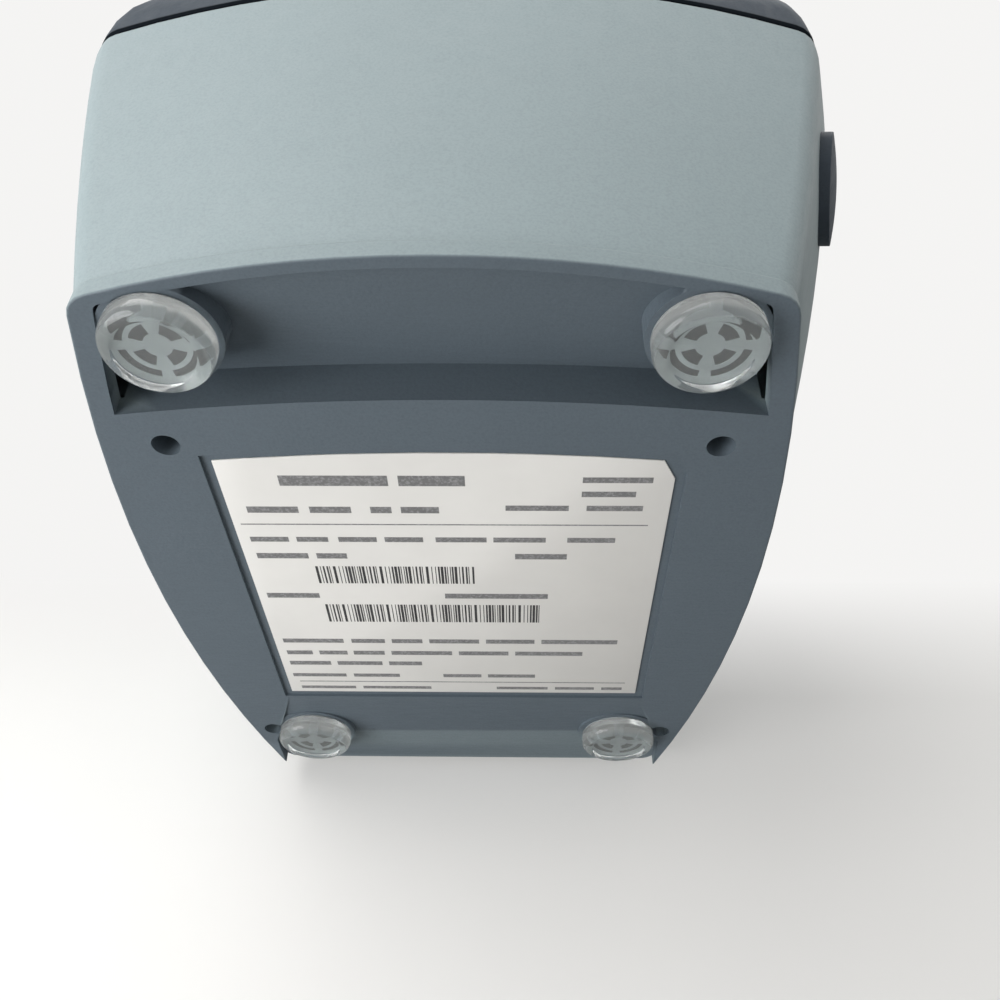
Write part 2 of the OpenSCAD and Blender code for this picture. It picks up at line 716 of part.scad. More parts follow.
module lid_inside() {
    for (p = FRAME_POSTS) translate([p[0], p[1], frame_z[1]]) cylinder(d = post_top_d, h = body_h);
    for (p = KEY_POSTS) translate([p[0], p[1], key_board_z + key_board_t])
        cylinder(d = key_post_d, h = body_h);
    box([ledge_x - tab_t, tab_y[0], tab_z[0]], [base_w, tab_y[1], tab_z[1]]);
    box([ledge_x - tab_t, tab_y[0], latch_z + 3], [ledge_x - 1, tab_y[1], tab_z[0] + eps]);
    box([ledge_x - tab_t, tab_y[0], latch_z + 3], [ledge_x, tab_y[1], latch_z + 5]);
}
module lid() {
    color(lid_colour) difference() {
        union() {
            difference() {
                loft([for (z = LID_Z) outer_ring(z)]);
                loft(concat([at_z(inner_ring(LID_Z[0]), LID_Z[0] - 5)], [for (z = LID_Z) inner_ring(z)]));
                arch(seam_r + seam_gap / 2);
                both_sides() for (k = casing_knuckles())
                    hinge_bar(k[0] - relief, k[1] + relief, knuckle_d + 2 * relief);
            }
            intersection() {
                lid_inside();
                loft([for (z = LID_Z) outer_ring(z)]);
            }
            both_sides() {
                along_x(lid_knuckle()[0], lid_knuckle()[1], lid_web());
                hinge_bar(lid_knuckle()[0], lid_knuckle()[1], knuckle_d);
            }
        }
        both_sides() hinge_bar(0, hinge_x + 2 * knuckle_l, hinge_pin_d + 2 * run_fit);
        for (p = FRAME_POSTS) translate([p[0], p[1], frame_z[1] - 1]) cylinder(d = small_thread, h = 9);
        translate([feed_x, feed_y, key_board_z]) cylinder(d = feed_d + 2 * run_fit, h = body_h);
        translate([feed_x, feed_y, body_h - dish_h + dish_r]) sphere(r = dish_r, $fn = 180);
        translate([lens_x, feed_y, key_board_z]) cylinder(d = lens_d + 2 * press_fit, h = body_h);
    }
}
module hinge_pin(s) {
    span = 1.5 * knuckle_l + knuckle_gap;
    color(steel_colour) hinge_bar(s * hinge_x - span, s * hinge_x + span, hinge_pin_d);
}
module hinge_pin_left() { hinge_pin(-1); }
module hinge_pin_right() { hinge_pin(1); }

// Release button: cap with a domed face square to the wall, skirt with a stop flange, and the nose
// that pushes the latch
nose_x = latch_x + 1.6;
flange_t = 1.4;
flange_x = tube_x - slide_fit - flange_t;
face_r = 60;
face_step = 0.1;
face_dir = unit([2 * face_step,
    wall_out(button_y - face_step, button_z) - wall_out(button_y + face_step, button_z),
    wall_out(button_y, button_z - face_step) - wall_out(button_y, button_z + face_step)]);
face_mid = [wall_out(button_y, button_z), button_y, button_z] + (button_proud + button_travel) * face_dir;
cap_x = face_mid[0] - 6.2;
module release_button() {
    r = button_d / 2;
    color(lid_colour) intersection() {
        translate([0, button_y, button_z]) rotate([0, 90, 0]) rotate_extrude() polygon([
            [0, nose_x], [1.4, nose_x], [3, nose_x + 1.6], [3, cap_x], [r - 2, cap_x],
            [r - 2, flange_x], [r + 0.6, flange_x], [r + 0.6, flange_x + flange_t],
            [r, flange_x + flange_t], [r, base_w], [0, base_w]]);
        translate(face_mid - face_r * face_dir) sphere(r = face_r, $fn = 180);
    }
}

// Latch: lever on a pin along Y, pad for the button below and hook above
pad_gap = 0.3;
module latch_lever() {
    x1 = latch_x - 0.2;
    x0 = x1 - latch_t;
    pad_w = 3;
    color(dark_colour) difference() {
        union() {
            along_x(x0, x1, [[latch_y[0], button_z - 4.5], [button_y + pad_w, button_z - 4.5],
                [button_y + pad_w, button_z + 2.5], [latch_y[1], latch_z - 7], [latch_y[1], latch_z + 3.5],
                [tab_y[1], latch_z + 3.5], [tab_y[1], latch_z + 10], [tab_y[0], latch_z + 10],
                [tab_y[0], latch_z + 5], [latch_y[0], latch_z + 3]]);
            box([x1 - eps, button_y - pad_w, button_z - pad_w],
                [nose_x - pad_gap, button_y + pad_w, button_z + pad_w]);
            box([ledge_x + nose_gap, tab_y[0], latch_z + 5.4], [x0 + eps, tab_y[1], latch_z + 8]);
            translate([latch_x, 0, latch_z]) bar_y(latch_y[0], latch_y[1], latch_pin_d + 3.4);
        }
        translate([latch_x, 0, latch_z]) bar_y(latch_y[0] - 1, latch_y[1] + 1, latch_pin_d + 2 * run_fit);
    }
}
module latch_pin() {
    color(steel_colour) translate([latch_x, 0, latch_z]) bar_y(EAR_Y[0], EAR_Y[1] + ear_t, latch_pin_d);
}
spring_wire = 0.5;
latch_turns = 3;
leg_l = 5;
module latch_spring() {
    r = latch_pin_d / 2 + spring_wire / 2 + 0.3;
    y0 = latch_y[1] + spring_wire / 2 + 0.2;
    pitch = (spring_room - spring_wire - 0.4) / latch_turns;
    color(steel_colour) wire(concat(
        [[latch_x + r, y0, latch_z - leg_l]],
        [for (a = [0:30:360 * latch_turns])
            [latch_x + r * cos(a), y0 + pitch * a / 360, latch_z + r * sin(a)]],
        [[latch_x + r, y0 + pitch * latch_turns, latch_z + leg_l]]), spring_wire / 2, [0, 1, 0]);
}

// Print head in the lid: frame, bracket that rocks on a pin, head and two springs
head_z = platen_z + platen_d / 2 + label_gap;
bracket_t = 1.2;
bracket_z = head_z + head_h;
rock_y = front + 38.7;
rock_z = bracket_z + bracket_t + 2.8;
rock_d = 3;
bracket_x = 34;
bracket_ear = 1.5;
cheek_x = bracket_x + bracket_ear + slide_fit;
cheek_t = 2.4;
cheek_l = 10;
cheek_drop = 4;
spring_x = 18;
spring_y = frame_y[0] + frame_post_in;
module lid_frame() {
    color(dark_colour) difference() {
        union() {
            box([-cheek_x - cheek_t, frame_y[0], frame_z[0]],
                [cheek_x + cheek_t, frame_y[1], frame_z[1]]);
            both_sides() box([cheek_x, rock_y - cheek_l / 2, rock_z - cheek_drop],
                [cheek_x + cheek_t, rock_y + cheek_l / 2, frame_z[0] + eps]);
        }
        translate([0, rock_y, rock_z]) bar_x(-far / 2, far / 2, rock_d + 2 * press_fit);
        for (p = FRAME_POSTS) translate([p[0], p[1], frame_z[0] - 1])
            cylinder(d = thread_d + slide_fit, h = 4);
    }
}
module lid_screws() {
    color(steel_colour) for (p = FRAME_POSTS) translate([p[0], p[1], frame_z[0]])
        pan_screw(small_head, small_head_h, small_thread, frame_screw_l);
}
module head_bracket() {
    color(steel_colour) difference() {
        union() {
            box([-bracket_x - eps, platen_y - head_d / 2, bracket_z],
                [bracket_x + eps, rock_y - 2, bracket_z + bracket_t]);
            both_sides() along_x(bracket_x, bracket_x + bracket_ear, [
                [rock_y - 8, bracket_z], [rock_y - 1, bracket_z], [rock_y + rock_d, rock_z - 1],
                [rock_y + rock_d, rock_z + rock_d], [rock_y - rock_d, rock_z + rock_d]]);
        }
        translate([0, rock_y, rock_z]) bar_x(-far / 2, far / 2, rock_d + 2 * run_fit);
    }
}
module print_head() {
    glaze = 0.4;
    color("#8d9296") along_x(-platen_l / 2, platen_l / 2, [
        [platen_y - 1, head_z], [platen_y + 1, head_z], [platen_y + 2, head_z + glaze],
        [platen_y + head_d / 2, head_z + glaze], [platen_y + head_d / 2, bracket_z],
        [platen_y - head_d / 2, bracket_z], [platen_y - head_d / 2, head_z + glaze + 1],
        [platen_y - 2, head_z + glaze]]);
}
module head_pivot_pin() {
    color(steel_colour) translate([0, rock_y, rock_z]) bar_x(-cheek_x - cheek_t, cheek_x + cheek_t, rock_d);
}
module head_springs() {
    r = (head_spring_d - head_wire) / 2;
    z0 = bracket_z + bracket_t + head_wire / 2;
    z1 = frame_z[0] - head_wire / 2;
    color(steel_colour) for (s = [-1, 1]) wire([for (a = [0:45:360 * head_turns])
        [s * spring_x + r * cos(a), spring_y + r * sin(a), z0 + (z1 - z0) * a / (360 * head_turns)]],
        head_wire / 2, [0, 0, 1]);
}

// Feed key, lamp and their board in the lid
switch_h = 3.2;
key_board_top = key_board_z + key_board_t;
key_stem = key_board_top + switch_h + feed_travel + slide_fit;
key_flange = [body_h - wall - slide_fit - 1.2, body_h - wall - slide_fit];
lens_foot = key_board_top + 1.5;
module feed_button() {
    r = feed_d / 2;
    edge = 0.8;
    color(dark_colour) translate([feed_x, feed_y, 0]) rotate_extrude() polygon([[0, key_stem],
        [2, key_stem], [2, key_flange[0]], [r + 1, key_flange[0]], [r + 1, key_flange[1]],
        [r, key_flange[1]], [r, feed_top - edge], [r - edge, feed_top], [0, feed_top]]);
}
module status_lens() {
    r = lens_d / 2;
    color("#d9e6c8") translate([lens_x, feed_y, 0]) rotate_extrude() polygon([[0, lens_foot],
        [r, lens_foot], [r, lens_top - 0.5], [r - 0.5, lens_top], [0, lens_top]]);
}
module button_board() {
    color(board_colour) union() {
        box([lens_x - 3, feed_y - 5.5, key_board_z], [feed_x + 4, feed_y + 5.5, key_board_top]);
        box([feed_x - 3, feed_y - 3, key_board_z], [feed_x + 3, feed_y + 3, key_board_top + switch_h - 0.2]);
        translate([feed_x, feed_y, key_board_z]) cylinder(d = 3.4, h = key_board_t + switch_h);
        translate([lens_x, feed_y, key_board_z]) cylinder(d = 3, h = key_board_t + 1.2);
    }
}

// Steel frame of the mechanism; each tie bar has a place along Y, a height and a diameter
TIES = [[front + 42.7, 66, 5], [front + 16.7, 60, 4]];
tie_pin = 3;
bush_d = 9;
post_pin = 4;
motor_screw = 9;
motor_screw_d = 2;
motor_boss = 8;
motor_clear = 12;
plate_top = platen_z + 7;
module side_plate(points) {
    difference() {
        along_x(plate_x - plate_gauge, plate_x, points);
        translate([0, platen_y, platen_z]) bar_x(0, far, bush_d + 2 * press_fit);
        for (t = TIES) translate([0, t[0], t[1]]) bar_x(0, far, tie_pin + 2 * press_fit);
    }
}
plate_foot = [[seat_y[1], 62], [seat_y[1], lip_top], [seat_y[0], lip_top], [seat_y[0], 28]];
plate_nose = [[motor_y - motor_clear, motor_z - motor_clear], [platen_y - 3, 50], [platen_y - 7.5, 58],
    [platen_y - 7.5, plate_top]];
module side_plate_left() {
    color(steel_colour) difference() {
        mirror([1, 0, 0]) side_plate(concat(plate_foot, plate_nose,
            [[platen_y + 7, plate_top]]));
        translate([0, idler_y, idler_z]) bar_x(-far, 0, post_pin + 2 * press_fit);
        translate([0, motor_y, motor_z]) bar_x(-far, 0, motor_boss + 2 * press_fit);
        for (s = [-1, 1]) translate([0, motor_y + s * motor_screw, motor_z])
            bar_x(-far, 0, motor_screw_d + 2 * slide_fit);
    }
}
shoulder_y = 8;
shoulder_z = 7;
module side_plate_right() {
    color(steel_colour) side_plate(concat(plate_foot, plate_nose,
        [[platen_y + platen_d / 2, plate_top], [platen_y + shoulder_y, platen_z - shoulder_z]]));
}
module tie_bars() {
    x = plate_x - plate_gauge;
    color(steel_colour) for (t = TIES) translate([0, t[0], t[1]]) {
        bar_x(-x, x, t[2]);
        bar_x(-plate_x, plate_x, tie_pin);
    }
}

// Platen and drive train
module platen_shaft() {
    color(steel_colour) translate([0, platen_y, platen_z]) bar_x(gear_x, plate_x + 0.6, shaft_d);
}
module platen_rubber() {
    color("#202224") translate([0, platen_y, platen_z]) difference() {
        bar_x(-platen_l / 2, platen_l / 2, platen_d);
        bar_x(-platen_l, platen_l, shaft_d + 2 * press_fit);
    }
}
module platen_bushes() {
    x = plate_x - plate_gauge;
    color("#d8d2c0") translate([0, platen_y, platen_z]) difference() {
        both_sides() {
            bar_x(x - 1, x, bush_d + 2);
            bar_x(x - 1, plate_x, bush_d);
        }
        bar_x(-far, far, shaft_d + 2 * run_fit);
    }
}
module drive_gear(y, z, turn, n, bore) {
    translate([gear_x, y, z]) rotate([turn, 0, 0]) rotate([90, 0, 90]) gear(n, gear_m, gear_w, bore);
}
module platen_gear() {
    color("#e4e0d2") drive_gear(platen_y, platen_z, idler_dir, platen_teeth, shaft_d + 2 * press_fit);
}
module idler_gear() {
    color("#e4e0d2") drive_gear(idler_y, idler_z, idler_turn, idler_teeth, post_pin + 2 * run_fit);
}
module idler_post() {
    color(steel_colour) translate([0, idler_y, idler_z]) {
        bar_x(gear_x - 0.2, -plate_x + plate_gauge, post_pin);
        bar_x(-plate_x - 0.8, -plate_x, post_pin + 2);
        bar_x(gear_x - 1, gear_x - 0.2, post_pin + 2);
    }
}
motor_shaft = 2;
motor_flange = 1.2;
module motor_body() {
    x = -plate_x + plate_gauge;
    color(steel_colour) translate([0, motor_y, motor_z]) difference() {
        union() {
            bar_x(x, x + motor_l, motor_d);
            for (s = [-1, 1]) translate([0, s * motor_screw, 0])
                bar_x(x, x + motor_flange, motor_boss);
            bar_x(-plate_x, x + 1, motor_boss);
        }
        bar_x(-far, x + motor_l - 2, motor_shaft + 2 * run_fit);
        for (s = [-1, 1]) translate([0, s * motor_screw, 0]) bar_x(-far, x + 4, motor_screw_d);
    }
}
module motor_pinion() {
    color("#c8b06a") union() {
        drive_gear(motor_y, motor_z, pinion_turn, pinion_teeth, motor_shaft / 2);
        translate([0, motor_y, motor_z]) bar_x(gear_x, -plate_x + plate_gauge + motor_l - 3, motor_shaft);
    }
}
module motor_screws() {
    color(steel_colour) for (s = [-1, 1]) translate([-plate_x, motor_y + s * motor_screw, motor_z]) {
        bar_x(-0.8, 0, 4);
        bar_x(-0.8, plate_gauge + 3, motor_screw_d - 2 * press_fit);
    }
}

// Label path: serrated bar at the exit, guide plate and gap sensor
module tear_bar() {
    t = 0.8;
    pitch = 2;
    tooth = 0.9;
    n = floor((2 * exit_x - 1) / pitch);
    w = n * pitch / 2;
    color(steel_colour) translate([0, tear_y + t, 0]) rotate([90, 0, 0]) linear_extrude(t) polygon(concat(
        [[-w, tear_z[0]], [w, tear_z[0]], [w, tear_z[1] - tooth]],
        [for (i = [0:n - 1]) each [
            [w - (i + 0.5) * pitch, tear_z[1]], [w - (i + 1) * pitch, tear_z[1] - tooth]]]));
}
guide_t = 1.5;
guide_lug = 8;
guide_a = [platen_y + platen_d / 2 + 1.2, platen_z + platen_d / 2 - 2];
guide_past = 6;
guide_over = 1;
guide_b = [TIES[0][0] + guide_past, TIES[0][1] + guide_over];
module label_guide() {
    color(dark_colour) difference() {
        union() {
            along_x(-platen_l / 2, platen_l / 2,
                [guide_a, guide_b, guide_b + [0, guide_t], guide_a + [0, guide_t]]);
            for (x = [-1, 1]) translate([x * (platen_l / 2 - guide_lug), TIES[0][0], TIES[0][1]])
                bar_x(-guide_lug / 2, guide_lug / 2, TIES[0][2] + 3.4);
        }
        translate([0, TIES[0][0], TIES[0][1]]) bar_x(-far, far, TIES[0][2] + 2 * press_fit);
    }
}
module label_sensor() {
    w = 10;
    d = 7;
    h = 3.4;
    fall = guide_b - guide_a;
    at = guide_a + 0.33 * fall;
    color(dark_colour) translate([0, at[0], at[1]]) rotate([atan2(fall[1], fall[0]), 0, 0])
        box([-w / 2, -d / 2, -h], [w / 2, d / 2, 0]);
}

// Main board with its parts and sockets
board_z = lip_top + board_post_h;
board_top = board_z + board_t;
usb_x = -20;
jack_x = 20;
socket_end = rear - lip_step - rear_lean * (lip_h + board_post_h + usb_h + board_t) - 0.2;
module main_board() {
    color(board_colour) difference() {
        box([-board_w / 2, board_y[0], board_z], [board_w / 2, board_y[1], board_top]);
        for (p = BOARD_POSTS) translate([p[0], p[1], board_z - 1])
            cylinder(d = thread_d + 2 * slide_fit, h = board_t + 2);
        for (p = SCREW_PLACES) translate([p[0], p[1], board_z - 1])
            cylinder(d = well_d + 2 * well_wall + 2 * slide_fit, h = board_t + 2);
        for (p = CRADLE_LEGS) translate([p[0], p[1], board_z - 1])
            cylinder(d = leg_d + 2 * slide_fit, h = board_t + 2);
    }
}
// Parts on the board: place and size as shares of the board's width and length, and a height
chip_h = 2;
can_h = 10;
plug_block_h = 6;
board_l = board_y[1] - board_y[0];
module on_board(x, y) {
    translate([x * board_w, board_y[0] + y * board_l, board_top]) children();
}
module chip(x, y, w, l, h) {
    on_board(x, y) translate([-w * board_w / 2, -l * board_l / 2, 0]) cube([w * board_w, l * board_l, h]);
}
module board_parts() {
    color(dark_colour) {
        chip(-0.01, 0.26, 0.23, 0.2, chip_h);
        chip(-0.32, 0.35, 0.12, 0.16, chip_h);
        chip(0.29, 0.48, 0.18, 0.09, 1.5 * chip_h);
        chip(0.01, 0.06, 0.33, 0.06, plug_block_h);
        chip(-0.3, 0.68, 0.18, 0.09, chip_h);
        for (x = [0.2, 0.34]) on_board(x, 0.25) cylinder(d = 0.1 * board_w, h = can_h);
        on_board(0.3, 0.7) cylinder(d = 0.12 * board_w, h = 0.7 * can_h);
    }
}
module board_screws() {
    color(steel_colour) for (p = BOARD_POSTS) translate([p[0], p[1], board_top]) mirror([0, 0, 1])
        pan_screw(small_head, small_head_h, small_thread, board_t + board_screw_l);
}
module usb_socket() {
    l = 16;
    t = 1.5;
    tongue = [2.8, 4];
    color(steel_colour) translate([usb_x, socket_end, board_top]) difference() {
        box([-usb_w / 2, -l, 0], [usb_w / 2, 0, usb_h]);
        difference() {
            box([-usb_w / 2 + t, -l + 6, t], [usb_w / 2 - t, 1, usb_h - t]);
            box([-tongue[0], -l, tongue[1]], [tongue[0], -t, usb_h - tongue[1]]);
        }
    }
}
module power_jack() {
    l = 14;
    hole_d = 6.4;
    centre_pin = 2;
    color(dark_colour) translate([jack_x, socket_end, board_top]) difference() {
        box([-jack_w / 2, -l, 0], [jack_w / 2, 0, jack_h]);
        translate([0, 0, jack_h - jack_w / 2 - 0.4]) difference() {
            bar_y(3 - l, 1, hole_d);
            bar_y(-l, -1, centre_pin);
        }
    }
}

// Label roll cradle, its sliding holders on racks, hubs and the pinion that couples them
cradle_x = 47;
cradle_y = [front + 57.7, rear - 20.7];
cradle_wall = 6;
leg_d = 5;
leg_seat = 1;
CRADLE_LEGS = [for (x = [-1, 1], y = [cradle_y[0] + 6, cradle_y[1] - 12]) [x * (cradle_x - leg_d / 2), y]];
rack_m = 1;
sync_teeth = 12;
sync_r = rack_m * sync_teeth / 2;
rack_h = 3.2;
rack_gap = 0.4;
rack_z = [cradle_z - rack_gap - rack_h, cradle_z - rack_gap];
rack_back = 2.6;
neck_w = 8;
sync_post = 4;
module roll_cradle() {
    top = cradle_z + cradle_t;
    t = 1.6;
    slot_x = [holder_x - holder_travel - 1, holder_x + holder_t + 1];
    post_z = rack_z[0] - 1.6;
    color(dark_colour) difference() {
        union() {
            box([-cradle_x, cradle_y[0], cradle_z], [cradle_x, cradle_y[1], top]);
            difference() {
                box([-cradle_x, cradle_y[0], cradle_z], [cradle_x, cradle_y[1], top + cradle_wall]);
                box([-cradle_x + t, cradle_y[0] + t, cradle_z - 1], [cradle_x - t, cradle_y[1] - t, far]);
            }
            for (p = CRADLE_LEGS) translate([p[0], p[1], lip_top + leg_seat])
                cylinder(d = leg_d, h = cradle_z - lip_top - leg_seat + eps);
            translate([0, roll_y, post_z]) cylinder(d = sync_post, h = cradle_z - post_z + eps);
        }
        both_sides() translate([0, roll_y, 0])
            box([slot_x[0], -neck_w / 2 - slide_fit, cradle_z - 1],
                [slot_x[1], neck_w / 2 + slide_fit, top + 1]);
    }
}
// Left roll holder; the right one is the same piece turned about the roll bay
axle_d = 10;
hub_wall = 3;
hub_reach = 6;
module roll_holder() {
    x0 = -holder_x - holder_t;
    rack_y = -sync_r;
    pitch = PI * rack_m;
    lead = 5;
    first = -ceil(holder_travel / pitch) - 3;
    n = lead - first;
    bar_end = lead * pitch;
    plate_low = cradle_z + cradle_t + slide_fit;
    plate_half = 14;
    half_root = pitch / 4 * backlash + root * rack_m * tan(pressure);
    half_tip = pitch / 4 * backlash - tip * rack_m * tan(pressure);
    translate([0, roll_y, 0]) difference() {
        union() {
            along_x(x0, x0 + holder_t, [[-plate_half, plate_low], [plate_half, plate_low],
                [plate_half, roll_z - 8], [8, roll_z + 8], [-8, roll_z + 8], [-plate_half, roll_z - 8]]);
            box([x0, -neck_w / 2, rack_z[0]], [x0 + holder_t, neck_w / 2, cradle_z + cradle_t + 1]);
            box([x0, rack_y - root * rack_m - rack_back, rack_z[0]], [x0 + holder_t, neck_w / 2, rack_z[1]]);
            translate([0, 0, rack_z[0]]) linear_extrude(rack_z[1] - rack_z[0]) polygon(concat(
                [[x0, rack_y - root * rack_m - rack_back], [bar_end, rack_y - root * rack_m - rack_back],
                    [bar_end, rack_y - root * rack_m]],
                [for (i = [n - 1:-1:0]) let (x = (first + i) * pitch) each [
                    [x + half_root, rack_y - root * rack_m], [x + half_tip, rack_y + tip * rack_m],
                    [x - half_tip, rack_y + tip * rack_m], [x - half_root, rack_y - root * rack_m]]],
                [[x0, rack_y - root * rack_m]]));
        }
        translate([0, 0, roll_z]) bar_x(-far, 0, axle_d + 2 * run_fit);
    }
}
module roll_holder_left() {
    color("#5b6670") roll_holder();
}
module roll_holder_right() {
    color("#5b6670") translate([0, 2 * roll_y, 0]) rotate([0, 0, 180]) roll_holder();
}
module hub() {
    bore_r = 0.3 * axle_d;
    clip_r = axle_d / 2 + 0.5 * hub_wall;
    flange_r = hub_d / 2 + hub_wall;
    tip_r = hub_d / 2 - 0.5 * hub_wall;
    hollow_r = hub_d / 2 - hub_wall;
    x1 = -holder_x - holder_t - slide_fit;
    x0 = x1 - hub_wall / 3;
    x2 = -holder_x + slide_fit;
    x3 = x2 + 0.5 * hub_wall;
    x4 = x3 + hub_reach;
    translate([0, roll_y, roll_z]) rotate([0, 90, 0]) rotate_extrude() polygon([[bore_r, x0],
        [clip_r, x0], [clip_r, x1], [axle_d / 2, x1], [axle_d / 2, x2], [flange_r, x2], [flange_r, x3],
        [hub_d / 2, x3], [tip_r, x4], [hollow_r, x4], [hollow_r, x3], [bore_r, x3]]);
}
module hub_left() {
    color("#7a858c") hub();
}
module hub_right() {
    color("#7a858c") mirror([1, 0, 0]) hub();
}
module sync_pinion() {
    color("#e4e0d2") translate([0, roll_y, rack_z[0]]) rotate([0, 0, 180 / sync_teeth])
        gear(sync_teeth, rack_m, rack_z[1] - rack_z[0], sync_post + 2 * run_fit);
}
module pinion_clip() {
    color(steel_colour) translate([0, roll_y, rack_z[0] - 1]) difference() {
        cylinder(d = sync_post + 3, h = 0.8);
        translate([0, 0, -eps]) cylinder(d = sync_post + 2 * press_fit, h = 1);
    }
}

base_tray();
rating_plate();
foot_front_left();
foot_front_right();
foot_rear_left();
foot_rear_right();
base_screws();
casing();
lid();
hinge_pin_left();
hinge_pin_right();
release_button();
latch_lever();
latch_pin();
latch_spring();
lid_frame();
lid_screws();
head_bracket();
print_head();
head_pivot_pin();
head_springs();
feed_button();
status_lens();
button_board();
side_plate_left();
side_plate_right();
tie_bars();
platen_shaft();
platen_rubber();
platen_bushes();
platen_gear();
idler_gear();
idler_post();
motor_body();
motor_pinion();
motor_screws();
tear_bar();
label_guide();
label_sensor();
main_board();
board_parts();
board_screws();
usb_socket();
power_jack();
roll_cradle();
roll_holder_left();
roll_holder_right();
hub_left();
hub_right();
sync_pinion();
pinion_clip();
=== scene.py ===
"""Desktop label printer: finished pieces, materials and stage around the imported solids."""

import json
import math

import bmesh
import bpy
from bpy.props import FloatProperty, FloatVectorProperty, PointerProperty
from mathutils import Matrix, Vector
from mathutils.bvhtree import BVHTree


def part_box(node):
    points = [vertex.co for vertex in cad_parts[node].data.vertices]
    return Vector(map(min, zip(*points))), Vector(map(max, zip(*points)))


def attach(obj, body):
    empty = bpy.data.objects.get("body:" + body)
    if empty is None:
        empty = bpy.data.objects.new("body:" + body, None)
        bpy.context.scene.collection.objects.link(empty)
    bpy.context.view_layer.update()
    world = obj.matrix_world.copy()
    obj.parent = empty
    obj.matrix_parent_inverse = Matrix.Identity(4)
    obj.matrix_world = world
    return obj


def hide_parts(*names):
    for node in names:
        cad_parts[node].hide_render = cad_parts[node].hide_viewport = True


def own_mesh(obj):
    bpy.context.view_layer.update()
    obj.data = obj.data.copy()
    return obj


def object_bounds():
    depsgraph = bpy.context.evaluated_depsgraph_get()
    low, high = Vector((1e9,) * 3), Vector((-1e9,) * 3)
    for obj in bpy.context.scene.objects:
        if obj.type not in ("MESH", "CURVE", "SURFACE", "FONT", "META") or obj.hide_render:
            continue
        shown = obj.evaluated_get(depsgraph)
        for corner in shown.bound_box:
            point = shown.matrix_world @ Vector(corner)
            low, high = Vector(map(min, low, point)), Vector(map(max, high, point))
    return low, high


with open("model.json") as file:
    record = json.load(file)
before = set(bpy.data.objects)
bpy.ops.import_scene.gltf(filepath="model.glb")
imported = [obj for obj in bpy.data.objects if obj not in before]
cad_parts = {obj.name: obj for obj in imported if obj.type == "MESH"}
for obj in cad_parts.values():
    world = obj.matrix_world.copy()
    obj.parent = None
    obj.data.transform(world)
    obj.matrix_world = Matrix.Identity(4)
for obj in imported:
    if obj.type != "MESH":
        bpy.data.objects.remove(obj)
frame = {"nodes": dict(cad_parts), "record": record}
cad_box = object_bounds()

bl_info = {
    "name": "Desktop Label Printer",
    "version": (1, 0, 0),
    "blender": (4, 5, 0),
    "location": "View3D > Sidebar > Printer",
    "description": "Finishes the packed label printer and sets it on its stage",
    "category": "Object",
}

MM = 0.001
NEAR = 0.05 * MM  # closer than this counts as the same place
WELD = 0.001 * MM  # points of a new mesh that are this close are one
BODY_OF = {n: b for b, nodes in frame["record"]["behaviour"]["bodies"].items() for n in nodes}


def colour_property(name, description, default):
    """Property that holds a colour."""
    return FloatVectorProperty(
        name=name, description=description, subtype="COLOR", size=3, min=0, max=1, default=default
    )


def length_property(name, description, default):
    """Property that holds a length in metres."""
    return FloatProperty(
        name=name, description=description, default=default, min=0, unit="LENGTH", precision=5
    )


def power_property(name, description, default):
    """Property that holds the power of a light."""
    return FloatProperty(name=name, description=description, default=default, min=0, unit="POWER")


class PrinterFinishes(bpy.types.PropertyGroup):
    """Colours and grain of the printer's materials"""

    casing: colour_property("Casing", "Moulded casing plastic", (0.285, 0.348, 0.363))
    base: colour_property("Base", "Moulded base plastic", (0.112, 0.141, 0.166))
    lid: colour_property("Lid", "Moulded lid and button plastic", (0.044, 0.057, 0.073))
    plate: colour_property("Rating plate", "Film of the rating plate", (0.800, 0.790, 0.760))
    ink: colour_property("Plate stripes", "Printed stripes on the rating plate", (0.030, 0.030, 0.032))
    greek: colour_property("Plate lines", "Plain bars that stand for lines of print", (0.180, 0.180, 0.182))
    foot: colour_property("Feet", "Tint of the clear feet", (0.900, 0.935, 0.930))
    pad: colour_property("Foot pads", "Pale pads behind the clear feet", (0.440, 0.475, 0.485))
    board: colour_property("Board", "Solder mask", (0.012, 0.120, 0.055))
    grain: length_property("Grain", "Size of the moulded grain", 0.45 * MM)
    grain_depth: length_property("Grain depth", "Depth of the moulded grain", 0.02 * MM)


class PrinterEdges(bpy.types.PropertyGroup):
    """Edge radii of the printer's pieces"""

    shell: length_property("Shell edge", "Edge radius of casing and lid", 0.3 * MM)
    seam: length_property("Seam edge", "Edge radius of the casing along its seam with the lid", 0.4 * MM)
    lid_seam: length_property("Lid seam edge", "Edge radius of the lid along its seam", 0.3 * MM)
    base: length_property("Base edge", "Edge radius of the base", 0.35 * MM)
    lip: length_property("Lip edge", "Edge radius under the base's lip", 1.6 * MM)
    lip_top: length_property("Lip top edge", "Edge radius on top of the base's lip", 0.6 * MM)
    moulded: length_property("Moulded edge", "Edge radius of small mouldings", 0.3 * MM)
    sheet: length_property("Sheet edge", "Edge radius of sheet metal", 0.12 * MM)
    tooth: length_property("Tooth edge", "Edge radius of gear teeth", 0.08 * MM)


class PrinterStage(bpy.types.PropertyGroup):
    """Lens, table and light of the stage"""

    lens: FloatProperty(name="Lens", description="Focal length", default=36.0, min=1, unit="CAMERA")
    table: colour_property("Table", "Pale table top", (0.800, 0.792, 0.772))
    backdrop: colour_property("Backdrop", "Pale background", (0.910, 0.905, 0.895))
    key: power_property("Key light", "Power of the key light", 6.5)
    fill: power_property("Fill light", "Power of the left fill", 2.6)
    side: power_property("Side light", "Power of the right fill", 0.3)
    top: power_property("Top light", "Power of the top light", 3.0)
    world: FloatProperty(name="World light", description="Strength of the even light", default=0.40, min=0)


# Materials


